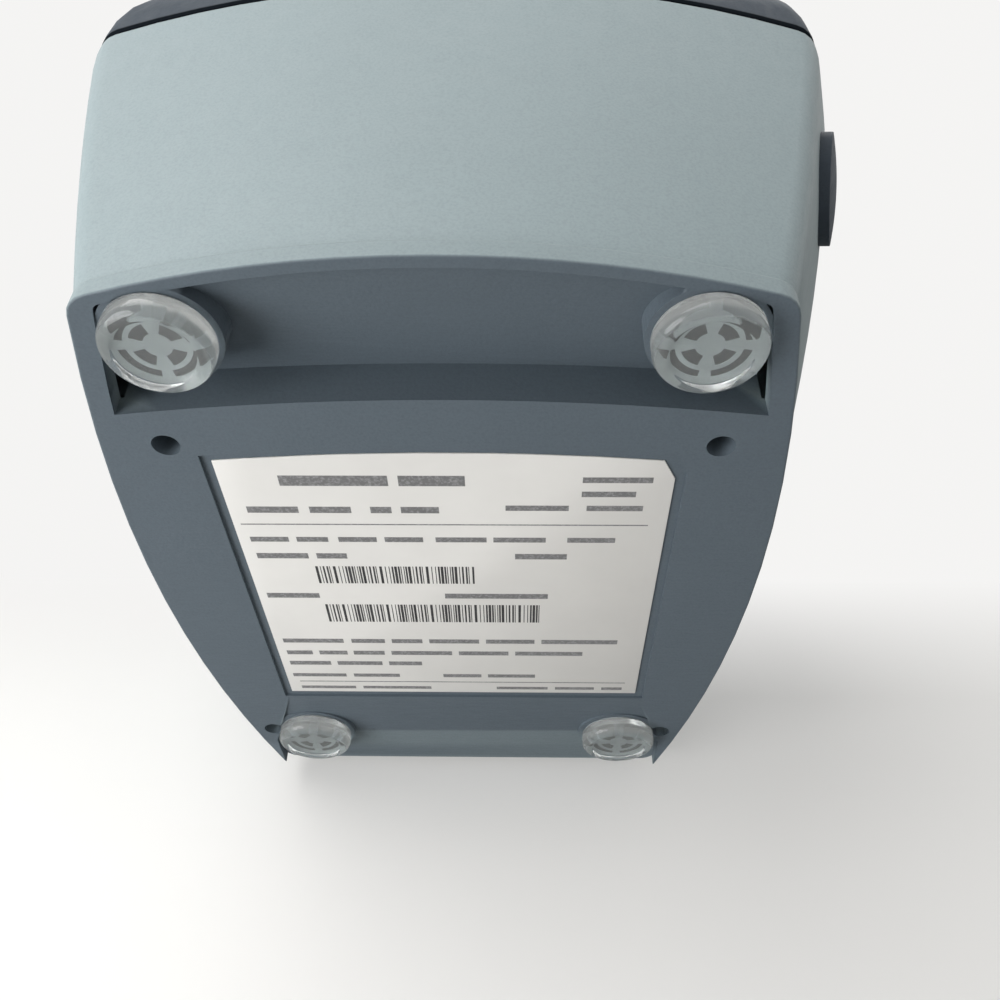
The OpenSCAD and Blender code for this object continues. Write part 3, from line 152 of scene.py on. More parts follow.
class Recipe:
    """A material being made: nodes on Object coordinates that end in one Principled shader."""

    def __init__(self, name, **sockets):
        self.material = bpy.data.materials.new(name)
        self.material.use_nodes = True
        self.tree = self.material.node_tree
        self.shader = self.tree.nodes["Principled BSDF"]
        self.place = self.add("ShaderNodeTexCoord").outputs["Object"]
        self.set(self.shader, sockets)

    def add(self, kind, **settings):
        """New node of that kind."""
        node = self.tree.nodes.new(kind)
        for key, value in settings.items():
            setattr(node, key, value)
        return node

    def set(self, node, sockets):
        """Gives a node's inputs their values or links."""
        for key, value in sockets.items():
            if isinstance(value, bpy.types.NodeSocket):
                self.tree.links.new(value, node.inputs[key])
            else:
                node.inputs[key].default_value = value
        return node

    def noise(self, size, detail=2.0, stretch=(1, 1, 1)):
        """Noise with features of about that size, in metres, drawn out along the axes given."""
        at = self.set(self.add("ShaderNodeMapping"), {"Vector": self.place, "Scale": stretch})
        node = self.set(
            self.add("ShaderNodeTexNoise"),
            {"Vector": at.outputs["Vector"], "Scale": 1 / size, "Detail": detail, "Roughness": 0.55},
        )
        return node.outputs["Fac"]

    def cells(self, size):
        """Distance to the middle of the nearest cell, with cells of about that size."""
        node = self.set(self.add("ShaderNodeTexVoronoi"), {"Vector": self.place, "Scale": 1 / size})
        return node.outputs["Distance"]

    def ramp(self, value, low, high, start=0.3, end=0.7):
        """Colour that runs from low to high as value runs from start to end."""
        node = self.set(self.add("ShaderNodeValToRGB"), {"Fac": value})
        for stop, at, tint in zip(node.color_ramp.elements, (start, end), (low, high)):
            stop.position = at
            stop.color = (*tint, 1)
        return node.outputs["Color"]

    def span(self, value, low, high, start=0.3, end=0.7):
        """Number that runs from low to high as value runs from start to end."""
        node = self.set(
            self.add("ShaderNodeMapRange"),
            {"Value": value, "From Min": start, "From Max": end, "To Min": low, "To Max": high},
        )
        return node.outputs["Result"]

    def mix(self, blend, a, b, factor=1.0):
        """Colour a blended with colour b."""
        node = self.add("ShaderNodeMix", data_type="RGBA", blend_type=blend)
        for socket, value in zip((node.inputs[0], node.inputs[6], node.inputs[7]), (factor, a, b)):
            if isinstance(value, bpy.types.NodeSocket):
                self.tree.links.new(value, socket)
            else:
                socket.default_value = value
        return node.outputs[2]

    def bump(self, height, depth, under=None):
        """Normal of a relief of that depth, on top of another normal if one is given."""
        sockets = {"Height": height, "Strength": 1.0, "Distance": depth}
        if under:
            sockets["Normal"] = under
        return self.set(self.add("ShaderNodeBump"), sockets).outputs["Normal"]

    def done(self, **sockets):
        """The material, with the last sockets of its shader set."""
        self.set(self.shader, sockets)
        return self.material


def shade(colour, factor):
    """Colour made darker or lighter by a factor."""
    return tuple(min(1.0, c * factor) for c in colour)


# The seam lies on a cylinder along Y: its radius, its highest point, and the painted shadow on the lid above
# it, a dark strip that stands in for the shade of the gap
SEAM_R = 450 * MM
SEAM_CROWN = 85 * MM
SEAM_SHADOW_H = 1.3 * MM
SEAM_SHADOW_FADE = 0.5 * MM
SEAM_SHADOW_START = (-0.4 * MM, -0.2 * MM)
CLOUDING = 0.015  # how far flow clouds change a moulded colour


def lip_light_share(r):
    """Share of the painted light on the base's lip: 1 where the mesh attribute "rim" is 1."""
    return r.add("ShaderNodeAttribute", attribute_name="rim").outputs["Fac"]


def seam_shadow_share(r):
    """1 on the strip of painted shadow just above the arched seam."""
    flat = r.set(r.add("ShaderNodeVectorMath", operation="MULTIPLY_ADD"), {
        0: r.place, 1: (1, 0, 1), 2: (0, 0, SEAM_R - SEAM_CROWN),
    }).outputs["Vector"]
    reach = r.set(r.add("ShaderNodeVectorMath", operation="LENGTH"), {0: flat}).outputs["Value"]
    above = r.span(reach, 0.0, 1.0, SEAM_R + SEAM_SHADOW_START[0], SEAM_R + SEAM_SHADOW_START[1])
    below = r.span(reach, 1.0, 0.0, SEAM_R + SEAM_SHADOW_H, SEAM_R + SEAM_SHADOW_H + SEAM_SHADOW_FADE)
    return r.set(r.add("ShaderNodeMath", operation="MULTIPLY"), {0: above, 1: below}).outputs[0]


def moulded_plastic(name, colour, look, rough=0.5, gloss=0.35, second=None, share=None, dull=False):
    """Moulded plastic with a spark-eroded grain, faint flow clouds and fine rubbed streaks.

    A second colour, painted light on the base's lip and painted shadow on the lid, shows where its share is
    1, without any gloss if it is dull.
    """
    r = Recipe(name, **{"Specular IOR Level": gloss})
    clouds = r.noise(24 * MM, 3)
    speckle = r.noise(look.grain, 1)
    rubs = r.noise(5 * MM, 4, (1, 9, 1))

    def clouded(tint):
        return r.ramp(clouds, shade(tint, 1 - CLOUDING), shade(tint, 1 + CLOUDING))

    tone = clouded(colour)
    if second:
        part = share(r)
        tone = r.mix("MIX", tone, clouded(second), part)
        if dull:
            r.set(r.shader, {"Specular IOR Level": r.span(part, gloss, 0.0, 0.0, 1.0)})
    flecks = r.ramp(speckle, (0.90, 0.90, 0.90), (1.0, 1.0, 1.0), 0.25, 0.6)
    tone = r.mix("MULTIPLY", tone, flecks)
    roughness = r.span(rubs, rough - 0.06, rough + 0.08)
    skin = r.bump(speckle, look.grain_depth)
    skin = r.bump(r.cells(look.grain * 2.2), look.grain_depth * 0.6, skin)
    return r.done(**{"Base Color": tone, "Roughness": roughness, "Normal": skin})


def plain_plastic(name, colour, rough=0.42):
    """Smooth moulded plastic with faint flow lines."""
    r = Recipe(name)
    flow = r.noise(9 * MM, 3, (1, 4, 1))
    fine = r.noise(0.8 * MM, 2)
    tone = r.ramp(flow, shade(colour, 0.90), shade(colour, 1.10))
    return r.done(**{
        "Base Color": tone,
        "Roughness": r.span(fine, rough - 0.05, rough + 0.09),
        "Normal": r.bump(fine, 0.006 * MM),
    })


def worked_metal(name, colour, rough, streak=(1, 1, 1), streak_size=0.9 * MM):
    """Metal with the fine lines that rolling or turning leaves, and faint stains."""
    r = Recipe(name, Metallic=1.0)
    lines = r.noise(streak_size, 3, streak)
    stains = r.noise(11 * MM, 3)
    worn = r.ramp(lines, (0.88, 0.88, 0.88), (1.0, 1.0, 1.0))
    tone = r.mix("MULTIPLY", r.ramp(stains, shade(colour, 0.86), colour), worn)
    return r.done(**{
        "Base Color": tone,
        "Roughness": r.span(lines, rough - 0.07, rough + 0.10),
        "Normal": r.bump(lines, 0.004 * MM),
    })


def clear_rubber(name, tint):
    """Clear soft rubber with a few clouded patches."""
    r = Recipe(name, **{"Transmission Weight": 0.92, "IOR": 1.40, "Specular IOR Level": 0.3})
    clouds = r.noise(3.5 * MM, 3)
    fine = r.noise(0.7 * MM, 2)
    return r.done(**{
        "Base Color": r.ramp(clouds, shade(tint, 0.93), tint),
        "Roughness": r.span(fine, 0.07, 0.15),
        "Normal": r.bump(fine, 0.012 * MM),
    })


def ground_rubber(name):
    """Black roller rubber with the marks of grinding round it."""
    r = Recipe(name, **{"Specular IOR Level": 0.3})
    marks = r.noise(0.5 * MM, 3, (4, 1, 1))
    dust = r.noise(6 * MM, 4)
    return r.done(**{
        "Base Color": r.ramp(dust, (0.016, 0.016, 0.017), (0.034, 0.034, 0.036)),
        "Roughness": r.span(marks, 0.55, 0.78),
        "Normal": r.bump(marks, 0.02 * MM),
    })


def plate_film(name, colour):
    """Printed film: a slightly uneven pale coat with a soft gloss."""
    r = Recipe(name, **{"Specular IOR Level": 0.45})
    coat = r.noise(14 * MM, 3)
    fine = r.noise(0.35 * MM, 2)
    return r.done(**{
        "Base Color": r.ramp(coat, shade(colour, 0.97), shade(colour, 1.015)),
        "Roughness": r.span(fine, 0.30, 0.42),
        "Normal": r.bump(coat, 0.05 * MM),
    })


def printed_ink(name, colour):
    """Thermal print with slightly worn coverage."""
    r = Recipe(name)
    wear = r.noise(0.5 * MM, 3)
    return r.done(**{
        "Base Color": r.ramp(wear, colour, shade(colour, 2.4), 0.45, 0.85),
        "Roughness": r.span(wear, 0.38, 0.52),
    })


def solder_mask(name, colour):
    """Circuit board lacquer over copper tracks."""
    r = Recipe(name, **{"Specular IOR Level": 0.5, "Coat Weight": 0.35, "Coat Roughness": 0.12})
    tracks = r.add("ShaderNodeTexBrick", offset=0.37, squash=0.6)
    r.set(tracks, {
        "Vector": r.place, "Scale": 110.0, "Mortar Size": 0.045, "Mortar Smooth": 0.2,
        "Color1": (*shade(colour, 0.85), 1), "Color2": (*shade(colour, 0.95), 1),
        "Mortar": (*shade(colour, 2.1), 1),
    })
    patches = r.ramp(r.noise(9 * MM, 2), (0.8, 0.8, 0.8), (1, 1, 1))
    return r.done(**{
        "Base Color": r.mix("MULTIPLY", tracks.outputs["Color"], patches),
        "Roughness": r.span(r.noise(2 * MM, 2), 0.22, 0.34),
        "Normal": r.bump(tracks.outputs["Fac"], 0.02 * MM),
    })


def light_pipe(name):
    """Milky clear plastic of the status lamp."""
    r = Recipe(name, **{"Transmission Weight": 0.75, "IOR": 1.49})
    milk = r.noise(1.5 * MM, 2)
    return r.done(**{
        "Base Color": r.ramp(milk, (0.62, 0.72, 0.50), (0.74, 0.82, 0.62)),
        "Roughness": r.span(milk, 0.12, 0.24),
    })


FINISH = {}  # materials by finish name


def make_finishes(look):
    """Makes all materials of the printer."""
    steel = (0.560, 0.570, 0.575)
    # painted light on the outward faces of the base's lip: a lighter copy of the base plastic, set a little
    # under the casing's colour so the crease between them reads as painted shade
    lip = shade(look.casing, 0.94)
    # painted shadow: a near-black copy of the lid's plastic, without gloss, on the strip above the seam
    seam = shade(look.lid, 0.2)
    FINISH.update(
        casing=moulded_plastic("casing_plastic", look.casing, look),
        base=moulded_plastic("base_plastic", look.base, look, gloss=0.3, second=lip, share=lip_light_share),
        lid=moulded_plastic(
            "lid_plastic", look.lid, look, rough=0.56, gloss=0.18, second=seam, share=seam_shadow_share, dull=True
        ),
        plate=plate_film("plate_film", look.plate),
        ink=printed_ink("plate_stripes", look.ink),
        greek=printed_ink("plate_lines", look.greek),
        foot=clear_rubber("clear_foot_rubber", look.foot),
        pad=plain_plastic("foot_pad", look.pad, 0.5),
        black=plain_plastic("black_moulding", (0.022, 0.023, 0.025)),
        grey=plain_plastic("holder_moulding", (0.115, 0.135, 0.155), 0.45),
        key=plain_plastic("key_moulding", (0.190, 0.220, 0.245), 0.38),
        acetal=plain_plastic("gear_acetal", (0.700, 0.680, 0.600), 0.36),
        sheet=worked_metal("sheet_steel", steel, 0.34, (1, 1, 7)),
        turned=worked_metal("turned_steel", shade(steel, 1.05), 0.24, (9, 1, 1), 0.6 * MM),
        spring=worked_metal("spring_wire", shade(steel, 0.85), 0.30, (1, 1, 1), 0.4 * MM),
        blade=worked_metal("blade_steel", shade(steel, 1.1), 0.22, (1, 1, 10), 0.5 * MM),
        # near-black screws at the bottom of the base's deep wells
        black_screw=worked_metal("blackened_screws", (0.050, 0.050, 0.054), 0.42),
        zinc=worked_metal("zinc_screws", (0.520, 0.520, 0.500), 0.36),
        can=worked_metal("motor_can", (0.470, 0.475, 0.470), 0.40, (10, 1, 1)),
        tin=worked_metal("tinned_shell", (0.640, 0.645, 0.640), 0.30, (1, 6, 1)),
        head=worked_metal("head_aluminium", (0.540, 0.545, 0.550), 0.42, (8, 1, 1)),
        glaze=plain_plastic("head_glaze", (0.230, 0.130, 0.060), 0.12),
        brass=worked_metal("pinion_brass", (0.620, 0.450, 0.190), 0.28, (8, 1, 1)),
        rubber=ground_rubber("platen_rubber"),
        board=solder_mask("board_lacquer", look.board),
        chip=plain_plastic("chip_body", (0.016, 0.016, 0.018), 0.48),
        lamp=light_pipe("lamp_pipe"),
    )


# Meshes


def piece(bm, name, finish, node, smooth=35.0, replaces=None):
    """Object from a bmesh, which rides on its CAD node's body and stands for the nodes in replaces.

    Without replaces, it stands for that one node.
    """
    mesh = bpy.data.meshes.new(name)
    bm.to_mesh(mesh)
    bm.free()
    for polygon in mesh.polygons:
        polygon.use_smooth = True
    mesh.set_sharp_from_angle(angle=math.radians(smooth))
    for key in [finish] if isinstance(finish, str) else finish:
        mesh.materials.append(FINISH[key])
    thing = bpy.data.objects.new(name, mesh)
    bpy.context.scene.collection.objects.link(thing)
    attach(thing, BODY_OF[node])
    for n in [node] if replaces is None else replaces:
        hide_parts(n)
    return thing


def solid_of(node, flat=1.0, merge=0.002 * MM):
    """Merged copy of a CAD node's mesh, with its flat faces joined up."""
    bm = bmesh.new()
    bm.from_mesh(frame["nodes"][node].data)
    bmesh.ops.remove_doubles(bm, verts=bm.verts, dist=merge)
    bmesh.ops.dissolve_degenerate(bm, edges=bm.edges, dist=merge)
    bmesh.ops.dissolve_limit(bm, angle_limit=math.radians(flat), verts=bm.verts, edges=bm.edges)
    return bm


def soften(bm, radius, corner=40.0, segments=2, keep=None, clamp=True):
    """Rounds the sharp edges of a solid; keep picks which of them."""
    edges = [
        e for e in bm.edges
        if len(e.link_faces) == 2
        and e.calc_face_angle(0) > math.radians(corner)
        and (keep is None or keep(e))
    ]
    bmesh.ops.bevel(
        bm, geom=edges, offset=radius, offset_type="OFFSET", affect="EDGES",
        segments=segments, profile=0.5, material=-1, clamp_overlap=clamp,
    )
    return bm


def softened(node, finish, radius):
    """Piece that stands for a CAD node with its sharp edges rounded."""
    return piece(soften(solid_of(node), radius), node + "_finished", finish, node)


def weighted(thing):
    """Normals that follow the large faces, so small rounded edges shade evenly."""
    thing.modifiers.new("even_shading", "WEIGHTED_NORMAL").keep_sharp = True
    return thing


def spun(profile, centre, steps=96):
    """Bmesh of a profile of (radius, height) points spun about the upright axis through centre."""
    bm = bmesh.new()
    line = [bm.verts.new((r, 0, h)) for r, h in profile]
    edges = [bm.edges.new(pair) for pair in zip(line, line[1:])]
    bmesh.ops.spin(
        bm, geom=line + edges, cent=(0, 0, 0), axis=(0, 0, 1), angle=2 * math.pi,
        steps=steps, use_merge=True,
    )
    bmesh.ops.remove_doubles(bm, verts=bm.verts, dist=WELD)
    bmesh.ops.recalc_face_normals(bm, faces=bm.faces)
    bmesh.ops.translate(bm, vec=centre, verts=bm.verts)
    return bm


WIRE_SIDES = 10
TURN_STEPS = 28


def coil(bm, centre, axis, radius, wire, height, turns):
    """Adds a round wire wound into a coil from centre along axis, with capped ends."""
    old = set(bm.verts)
    ring = bmesh.ops.create_circle(bm, cap_ends=True, segments=WIRE_SIDES, radius=wire)["verts"]
    stand = Matrix.Translation((radius, 0, 0)) @ Matrix.Rotation(math.pi / 2, 4, "X")
    bmesh.ops.transform(bm, matrix=stand, verts=ring)
    cap = list(ring[0].link_faces)
    copy = bmesh.ops.duplicate(bm, geom=cap)["geom"]
    steps = int(TURN_STEPS * turns)
    sweep = [g for g in copy if not isinstance(g, bmesh.types.BMVert)]
    bmesh.ops.spin(
        bm, geom=sweep, cent=(0, 0, 0), axis=(0, 0, 1), dvec=(0, 0, height / steps),
        angle=2 * math.pi * turns, steps=steps, use_merge=False,
    )
    made = [v for v in bm.verts if v not in old]
    bmesh.ops.remove_doubles(bm, verts=made, dist=WELD)
    made = [v for v in bm.verts if v not in old]
    bmesh.ops.recalc_face_normals(bm, faces=list(dict.fromkeys(f for v in made for f in v.link_faces)))
    turn = Vector((0, 0, 1)).rotation_difference(Vector(axis)).to_matrix().to_4x4()
    bmesh.ops.transform(bm, matrix=Matrix.Translation(centre) @ turn, verts=made)


def block(bm, low, high):
    """Adds a box between two corners."""
    low, high = Vector(low), Vector(high)
    made = bmesh.ops.create_cube(bm, size=1.0)["verts"]
    size = Matrix.Diagonal((*(high - low), 1))
    bmesh.ops.transform(bm, matrix=Matrix.Translation((low + high) / 2) @ size, verts=made)


# Pieces


class PRINTER_OT_finishes(bpy.types.Operator):
    """Make the printer's materials"""

    bl_idname = "printer.finishes"
    bl_label = "Materials"

    def execute(self, context):
        make_finishes(context.scene.printer_finishes)
        return {"FINISHED"}


LEAST_SIDEWAYS = 0.2  # a normal that leans out less than this looks up or down
RIM_PROBE = 0.4 * MM
SEAM_PROBE = 0.5 * MM
SEAM_MERGE = 0.4 * MM
SEAM_STEP = 6 * MM


def outward(tree, at, normal):
    """Whether a surface with that normal looks out of the piece's side, past the rest of the piece."""
    out = Vector((normal.x, normal.y, 0))
    return out.length > LEAST_SIDEWAYS and tree.ray_cast(at + out.normalized() * NEAR, out)[0] is None


def round_rim(bm, z, radius, side):
    """Rounds the lip's outer edge at one height; side is where the lip lies from there, 1 up or -1 down."""
    tree = BVHTree.FromBMesh(bm)

    def on_rim(edge):
        if any(abs(v.co.z - z) > NEAR for v in edge.verts):
            return False
        wall = min(edge.link_faces, key=lambda f: abs(f.normal.z))
        middle = (edge.verts[0].co + edge.verts[1].co) / 2 + Vector((0, 0, side * RIM_PROBE))
        return abs(wall.normal.z) < 0.5 and outward(tree, middle, wall.normal)

    soften(bm, radius, corner=30, segments=5, keep=on_rim)
    bm.normal_update()


def cut_across(bm, up, step):
    """Cuts the long faces of a shell's rim into short ones; up is where the rim looks, 1 up or -1 down."""
    bm.normal_update()
    count = int((cad_box[1].y - cad_box[0].y) / step)
    for i in range(1, count):
        rim = [f for f in bm.faces if up * f.normal.z > 0.9]
        edges = dict.fromkeys(e for f in rim for e in f.edges)
        verts = dict.fromkeys(v for f in rim for v in f.verts)
        at = Vector((0, cad_box[0].y + i * step, 0))
        bmesh.ops.bisect_plane(
            bm, geom=[*rim, *edges, *verts], dist=0.01 * MM, plane_co=at, plane_no=(0, 1, 0)
        )


def round_seam(bm, up, radius):
    """Rounds the outer edge of a shell along the seam; up is 1 for the casing and -1 for the lid above it."""
    cut_across(bm, up, SEAM_STEP)
    bm.normal_update()
    tree = BVHTree.FromBMesh(bm)

    def on_seam(edge):
        if len(edge.link_faces) != 2:
            return False
        cut, wall = sorted(edge.link_faces, key=lambda f: -up * f.normal.z)
        middle = (edge.verts[0].co + edge.verts[1].co) / 2 - Vector((0, 0, up * SEAM_PROBE))
        return up * cut.normal.z > 0.7 and abs(wall.normal.z) < 0.6 and outward(tree, middle, wall.normal)

    found = {v for e in bm.edges if on_seam(e) for v in e.verts}
    in_order = sorted(found, key=lambda v: v.co[:])
    bmesh.ops.remove_doubles(bm, verts=in_order, dist=SEAM_MERGE)
    bm.normal_update()
    soften(bm, radius, corner=30, segments=3, keep=on_seam, clamp=False)


SHELL_FLAT = 0.02  # degrees: the shells keep the facets of their curves
SHELL_MERGE = 0.05 * MM
REARWARD = 0.85  # a normal this far to the rear is on the flat back
BOTTOM_EDGE = 1 * MM  # edges this near the bottom of a shell stay sharp


class PRINTER_OT_shell(bpy.types.Operator):
    """Casing and lid with rounded edges and a moulded grain"""

    bl_idname = "printer.shell"
    bl_label = "Casing and lid"

    def execute(self, context):
        edges = context.scene.printer_edges
        for node, up, radius in (("casing", 1, edges.seam), ("lid", -1, edges.lid_seam)):
            bm = solid_of(node, SHELL_FLAT, SHELL_MERGE)
            bm.normal_update()
            back = [e for e in bm.edges if all(f.normal.y > REARWARD for f in e.link_faces)]
            bmesh.ops.dissolve_limit(bm, angle_limit=math.radians(1), verts=[], edges=back)
            round_seam(bm, up, radius)
            bottom = min(v.co.z for v in bm.verts) + BOTTOM_EDGE
            soften(bm, edges.shell, corner=50, keep=lambda e: max(v.co.z for v in e.verts) > bottom)
            weighted(piece(bm, node + "_finished", node, node, smooth=40))
        return {"FINISHED"}


ROUND_SLACK = 0.15 * MM
LIP_LIGHT_SLOPE = 1.5  # how fast the painted light on the lip fades into the base's colour as its faces turn down
LIP_LIGHT_OFFSET = 0.05


class PRINTER_OT_base(bpy.types.Operator):
    """Base tray whose rounded lip carries painted light: a lighter copy near the casing's colour on its
    outward faces, fading to the base's colour where they turn down
    """

    bl_idname = "printer.base"
    bl_label = "Base tray"

    def execute(self, context):
        edges = context.scene.printer_edges
        bm = solid_of("base_tray")
        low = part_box("base_tray")[0].z
        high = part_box("casing")[0].z
        round_rim(bm, low, edges.lip, 1)
        round_rim(bm, high, edges.lip_top, -1)
        tree = BVHTree.FromBMesh(bm)
        outer = set()
        for face in bm.faces:
            at, up = face.calc_center_median(), face.normal.z
            on_round = at.z < low + edges.lip * (1 + up) + ROUND_SLACK
            if high - NEAR < at.z < high + NEAR and up > 0.9:
                outer.add(face)
            elif at.z < high and (up > -0.2 or on_round) and outward(tree, at, face.normal):
                outer.add(face)
        # vertex attribute rim: share of the painted light on the base's lip, 1 on its outward sides and
        # falling to 0 as the vertex normals turn down
        rim = bm.verts.layers.float.new("rim")
        for vert in bm.verts:
            if outer.intersection(vert.link_faces):
                vert[rim] = min(1.0, max(0.0, LIP_LIGHT_SLOPE * (vert.normal.z + 1.0) - LIP_LIGHT_OFFSET))

        def under(edge):
            return all(abs(v.co.z - low) < NEAR and v[rim] == 0.0 for v in edge.verts)

        soften(bm, edges.base, corner=50, keep=under)
        weighted(piece(bm, "base_tray_finished", "base", "base_tray", smooth=40))
        return {"FINISHED"}


# Print of the rating plate, in millimetres: height along the plate, size of the line, and from-to pairs
PLATE_LINES = (
    (-31.6, 2.6, ((-27.5, -9.5), (-7.8, 3.2))),
    (-24.0, 1.7, ((-34.3, -25.5), (-23.6, -16.5), (-13.2, -9.6), (-8.0, -1.5))),
    (-31.9, 1.4, ((22.5, 34.0),)),
    (-28.3, 1.4, ((22.5, 31.5),)),
    (-24.6, 1.4, ((9.8, 20.5), (23.5, 33.0))),
    (-20.0, 0.3, ((-36.2, 34.3),)),
    (-15.7, 1.4, (
        (-35.4, -28.6), (-27.2, -21.6), (-19.8, -13.0), (-11.6, -4.8), (-2.6, 6.4), (7.6, 16.8), (20.6, 29.0),
    )),
    (-10.8, 1.6, ((-35.2, -25.9), (-24.4, -18.9), (11.4, 20.7))),
    (1.9, 1.6, ((-35.8, -25.8), (-1.9, 17.6))),
    (18.2, 1.5, ((-35.7, -23.4), (-21.8, -15.0), (-13.6, -7.4), (-6.0, 4.1), (5.5, 15.3), (16.7, 32.0))),
    (22.8, 1.5, ((-35.7, -30.4), (-29.0, -23.2), (-21.9, -15.5), (-14.1, -1.6), (-0.2, 10.0), (11.4, 25.2))),
    (27.0, 1.5, ((-35.8, -27.2), (-25.8, -16.4), (-15.0, -8.1))),
    (32.0, 1.3, ((-36.0, -24.6), (-23.0, -13.2), (-3.9, 4.2), (5.6, 15.6))),
    (34.7, 0.3, ((-35.0, 34.9),)),
    (37.2, 1.1, ((-35.0, -23.2), (-21.6, -6.8), (7.4, 18.4), (20.0, 28.4), (30.0, 34.4))),
)
# Striped fields in millimetres: left, right, near and far side; the steps give stripes and gaps
PLATE_STRIPES = ((-25.2, 3.9, -7.6, -2.2), (-25.2, 16.4, 4.9, 11.0))
STRIPE_STEPS = (3, 1, 2, 2, 1, 3, 1, 1, 2, 3, 2, 1, 1, 2)
STRIPE_W = 0.16
GAP_W = 0.18
INK_T = 0.012 * MM
PLATE_EDGE = 0.08 * MM


class PRINTER_OT_plate(bpy.types.Operator):
    """Rating plate with plain rules, bars and stripes"""

    bl_idname = "printer.plate"
    bl_label = "Rating plate"

    def execute(self, context):
        softened("rating_plate", "plate", PLATE_EDGE)
        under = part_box("rating_plate")[0].z
        lines = bmesh.new()
        for y, size, words in PLATE_LINES:
            near, far = (y - size / 2) * MM, (y + size / 2) * MM
            for start, end in words:
                block(lines, (start * MM, near, under - INK_T), (end * MM, far, under))
        piece(lines, "plate_lines", "greek", "rating_plate", replaces=())
        stripes = bmesh.new()
        for start, end, near, far in PLATE_STRIPES:
            x, count = start, 0
            while x < end:
                wide = STRIPE_W * STRIPE_STEPS[count % len(STRIPE_STEPS)]
                right = min(x + wide, end)
                block(stripes, (x * MM, near * MM, under - INK_T), (right * MM, far * MM, under))
                x += wide + GAP_W * STRIPE_STEPS[(count * 5 + 3) % len(STRIPE_STEPS)]
                count += 1
        piece(stripes, "plate_stripes", "ink", "rating_plate", replaces=())
        return {"FINISHED"}


FOOT_DISH = 6.0 * MM
FOOT_DISH_T = 0.3 * MM
FOOT_ROUND_W = 2.0 * MM
FOOT_ROUND_H = 1.6 * MM
ROUND_STEPS = 8
PLUG_R = 2.5 * MM
PLUG_H = 2.0 * MM
PAD_T = 0.15 * MM
PAD_RINGS = tuple(r * MM for r in (0, 2.2, 4.26, 5.08, 6.4, 7.9))
PAD_BAR = 1.0 * MM
# a black disc of painted shade lies behind each pad, so its slots and pockets look like deep dark holes
SHADE_DISC_R = PAD_RINGS[4] * 1.02
SHADE_DISC_T = PAD_T / 5


def foot_pad(x, y, top, plug_top):
    """Thin pad with four arc slots and four pockets and the plug that holds it, with a black disc of painted
    shade behind that makes the slots and pockets look deep and dark.
    """
    bm = bmesh.new()
    line = [bm.verts.new((r, 0, 0)) for r in PAD_RINGS]
    edges = [bm.edges.new(pair) for pair in zip(line, line[1:])]
    bmesh.ops.spin(
        bm, geom=line + edges, cent=(0, 0, 0), axis=(0, 0, 1), angle=2 * math.pi,
        steps=120, use_merge=True,
    )
    bmesh.ops.remove_doubles(bm, verts=bm.verts, dist=WELD)
    slots = []
    for face in bm.faces:
        at = face.calc_center_median()
        clear = min(abs(at.x), abs(at.y)) > PAD_BAR
        r = at.length
        if clear and (PAD_RINGS[1] < r < PAD_RINGS[2] or PAD_RINGS[3] < r < PAD_RINGS[4]):
            slots.append(face)
    bmesh.ops.delete(bm, geom=slots, context="FACES")
    bmesh.ops.recalc_face_normals(bm, faces=bm.faces)
    bmesh.ops.solidify(bm, geom=bm.faces[:], thickness=PAD_T)
    low = min(v.co.z for v in bm.verts)
    bmesh.ops.translate(bm, vec=(x, y, top - PAD_T - low), verts=bm.verts)
    plug = bmesh.ops.create_cone(
        bm, cap_ends=True, segments=32, radius1=PLUG_R, radius2=PLUG_R, depth=plug_top - top
    )["verts"]
    bmesh.ops.translate(bm, vec=(x, y, (plug_top + top) / 2), verts=plug)
    bmesh.ops.recalc_face_normals(bm, faces=bm.faces)
    # the black disc of painted shade behind the pad takes the second finish
    old = set(bm.faces)
    back = bmesh.ops.create_cone(
        bm, cap_ends=True, segments=64, radius1=SHADE_DISC_R, radius2=SHADE_DISC_R, depth=SHADE_DISC_T
    )["verts"]
    bmesh.ops.translate(bm, vec=(x, y, top - SHADE_DISC_T / 2), verts=back)
    for face in set(bm.faces) - old:
        face.material_index = 1
    return bm


def foot_profile(r, top):
    """Profile of a clear foot from the middle of its dish, round its rim and back to the middle on top."""
    dish = [
        (0, FOOT_DISH_T), (FOOT_DISH - 0.4 * MM, FOOT_DISH_T), (FOOT_DISH - 0.15 * MM, 0.2 * MM),
        (FOOT_DISH, 0.05 * MM),
    ]
    turns = [math.pi / 2 * k / ROUND_STEPS for k in range(ROUND_STEPS + 1)]
    rim = [
        (r - FOOT_ROUND_W + FOOT_ROUND_W * math.sin(a), FOOT_ROUND_H - FOOT_ROUND_H * math.cos(a))
        for a in turns
    ]
    return dish + rim + [(r, top - 0.4 * MM), (r - 0.3 * MM, top - PAD_T), (0, top - PAD_T)]


class PRINTER_OT_feet(bpy.types.Operator):
    """Clear rubber feet on pale pads"""

    bl_idname = "printer.feet"
    bl_label = "Feet"

    def execute(self, context):
        for end in ("front", "rear"):
            for side in ("left", "right"):
                node = f"foot_{end}_{side}"
                low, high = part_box(node)
                middle = (low + high) / 2
                top = high.z - PLUG_H
                profile = foot_profile((high.x - low.x) / 2, top)
                foot = spun(profile, (middle.x, middle.y, 0))
                piece(foot, node + "_finished", "foot", node, smooth=50)
                pad = foot_pad(middle.x, middle.y, top, high.z)
                # the pad's second finish is the black of the disc of painted shade behind it
                piece(pad, node + "_pad", ("pad", "chip"), node, replaces=())
        return {"FINISHED"}


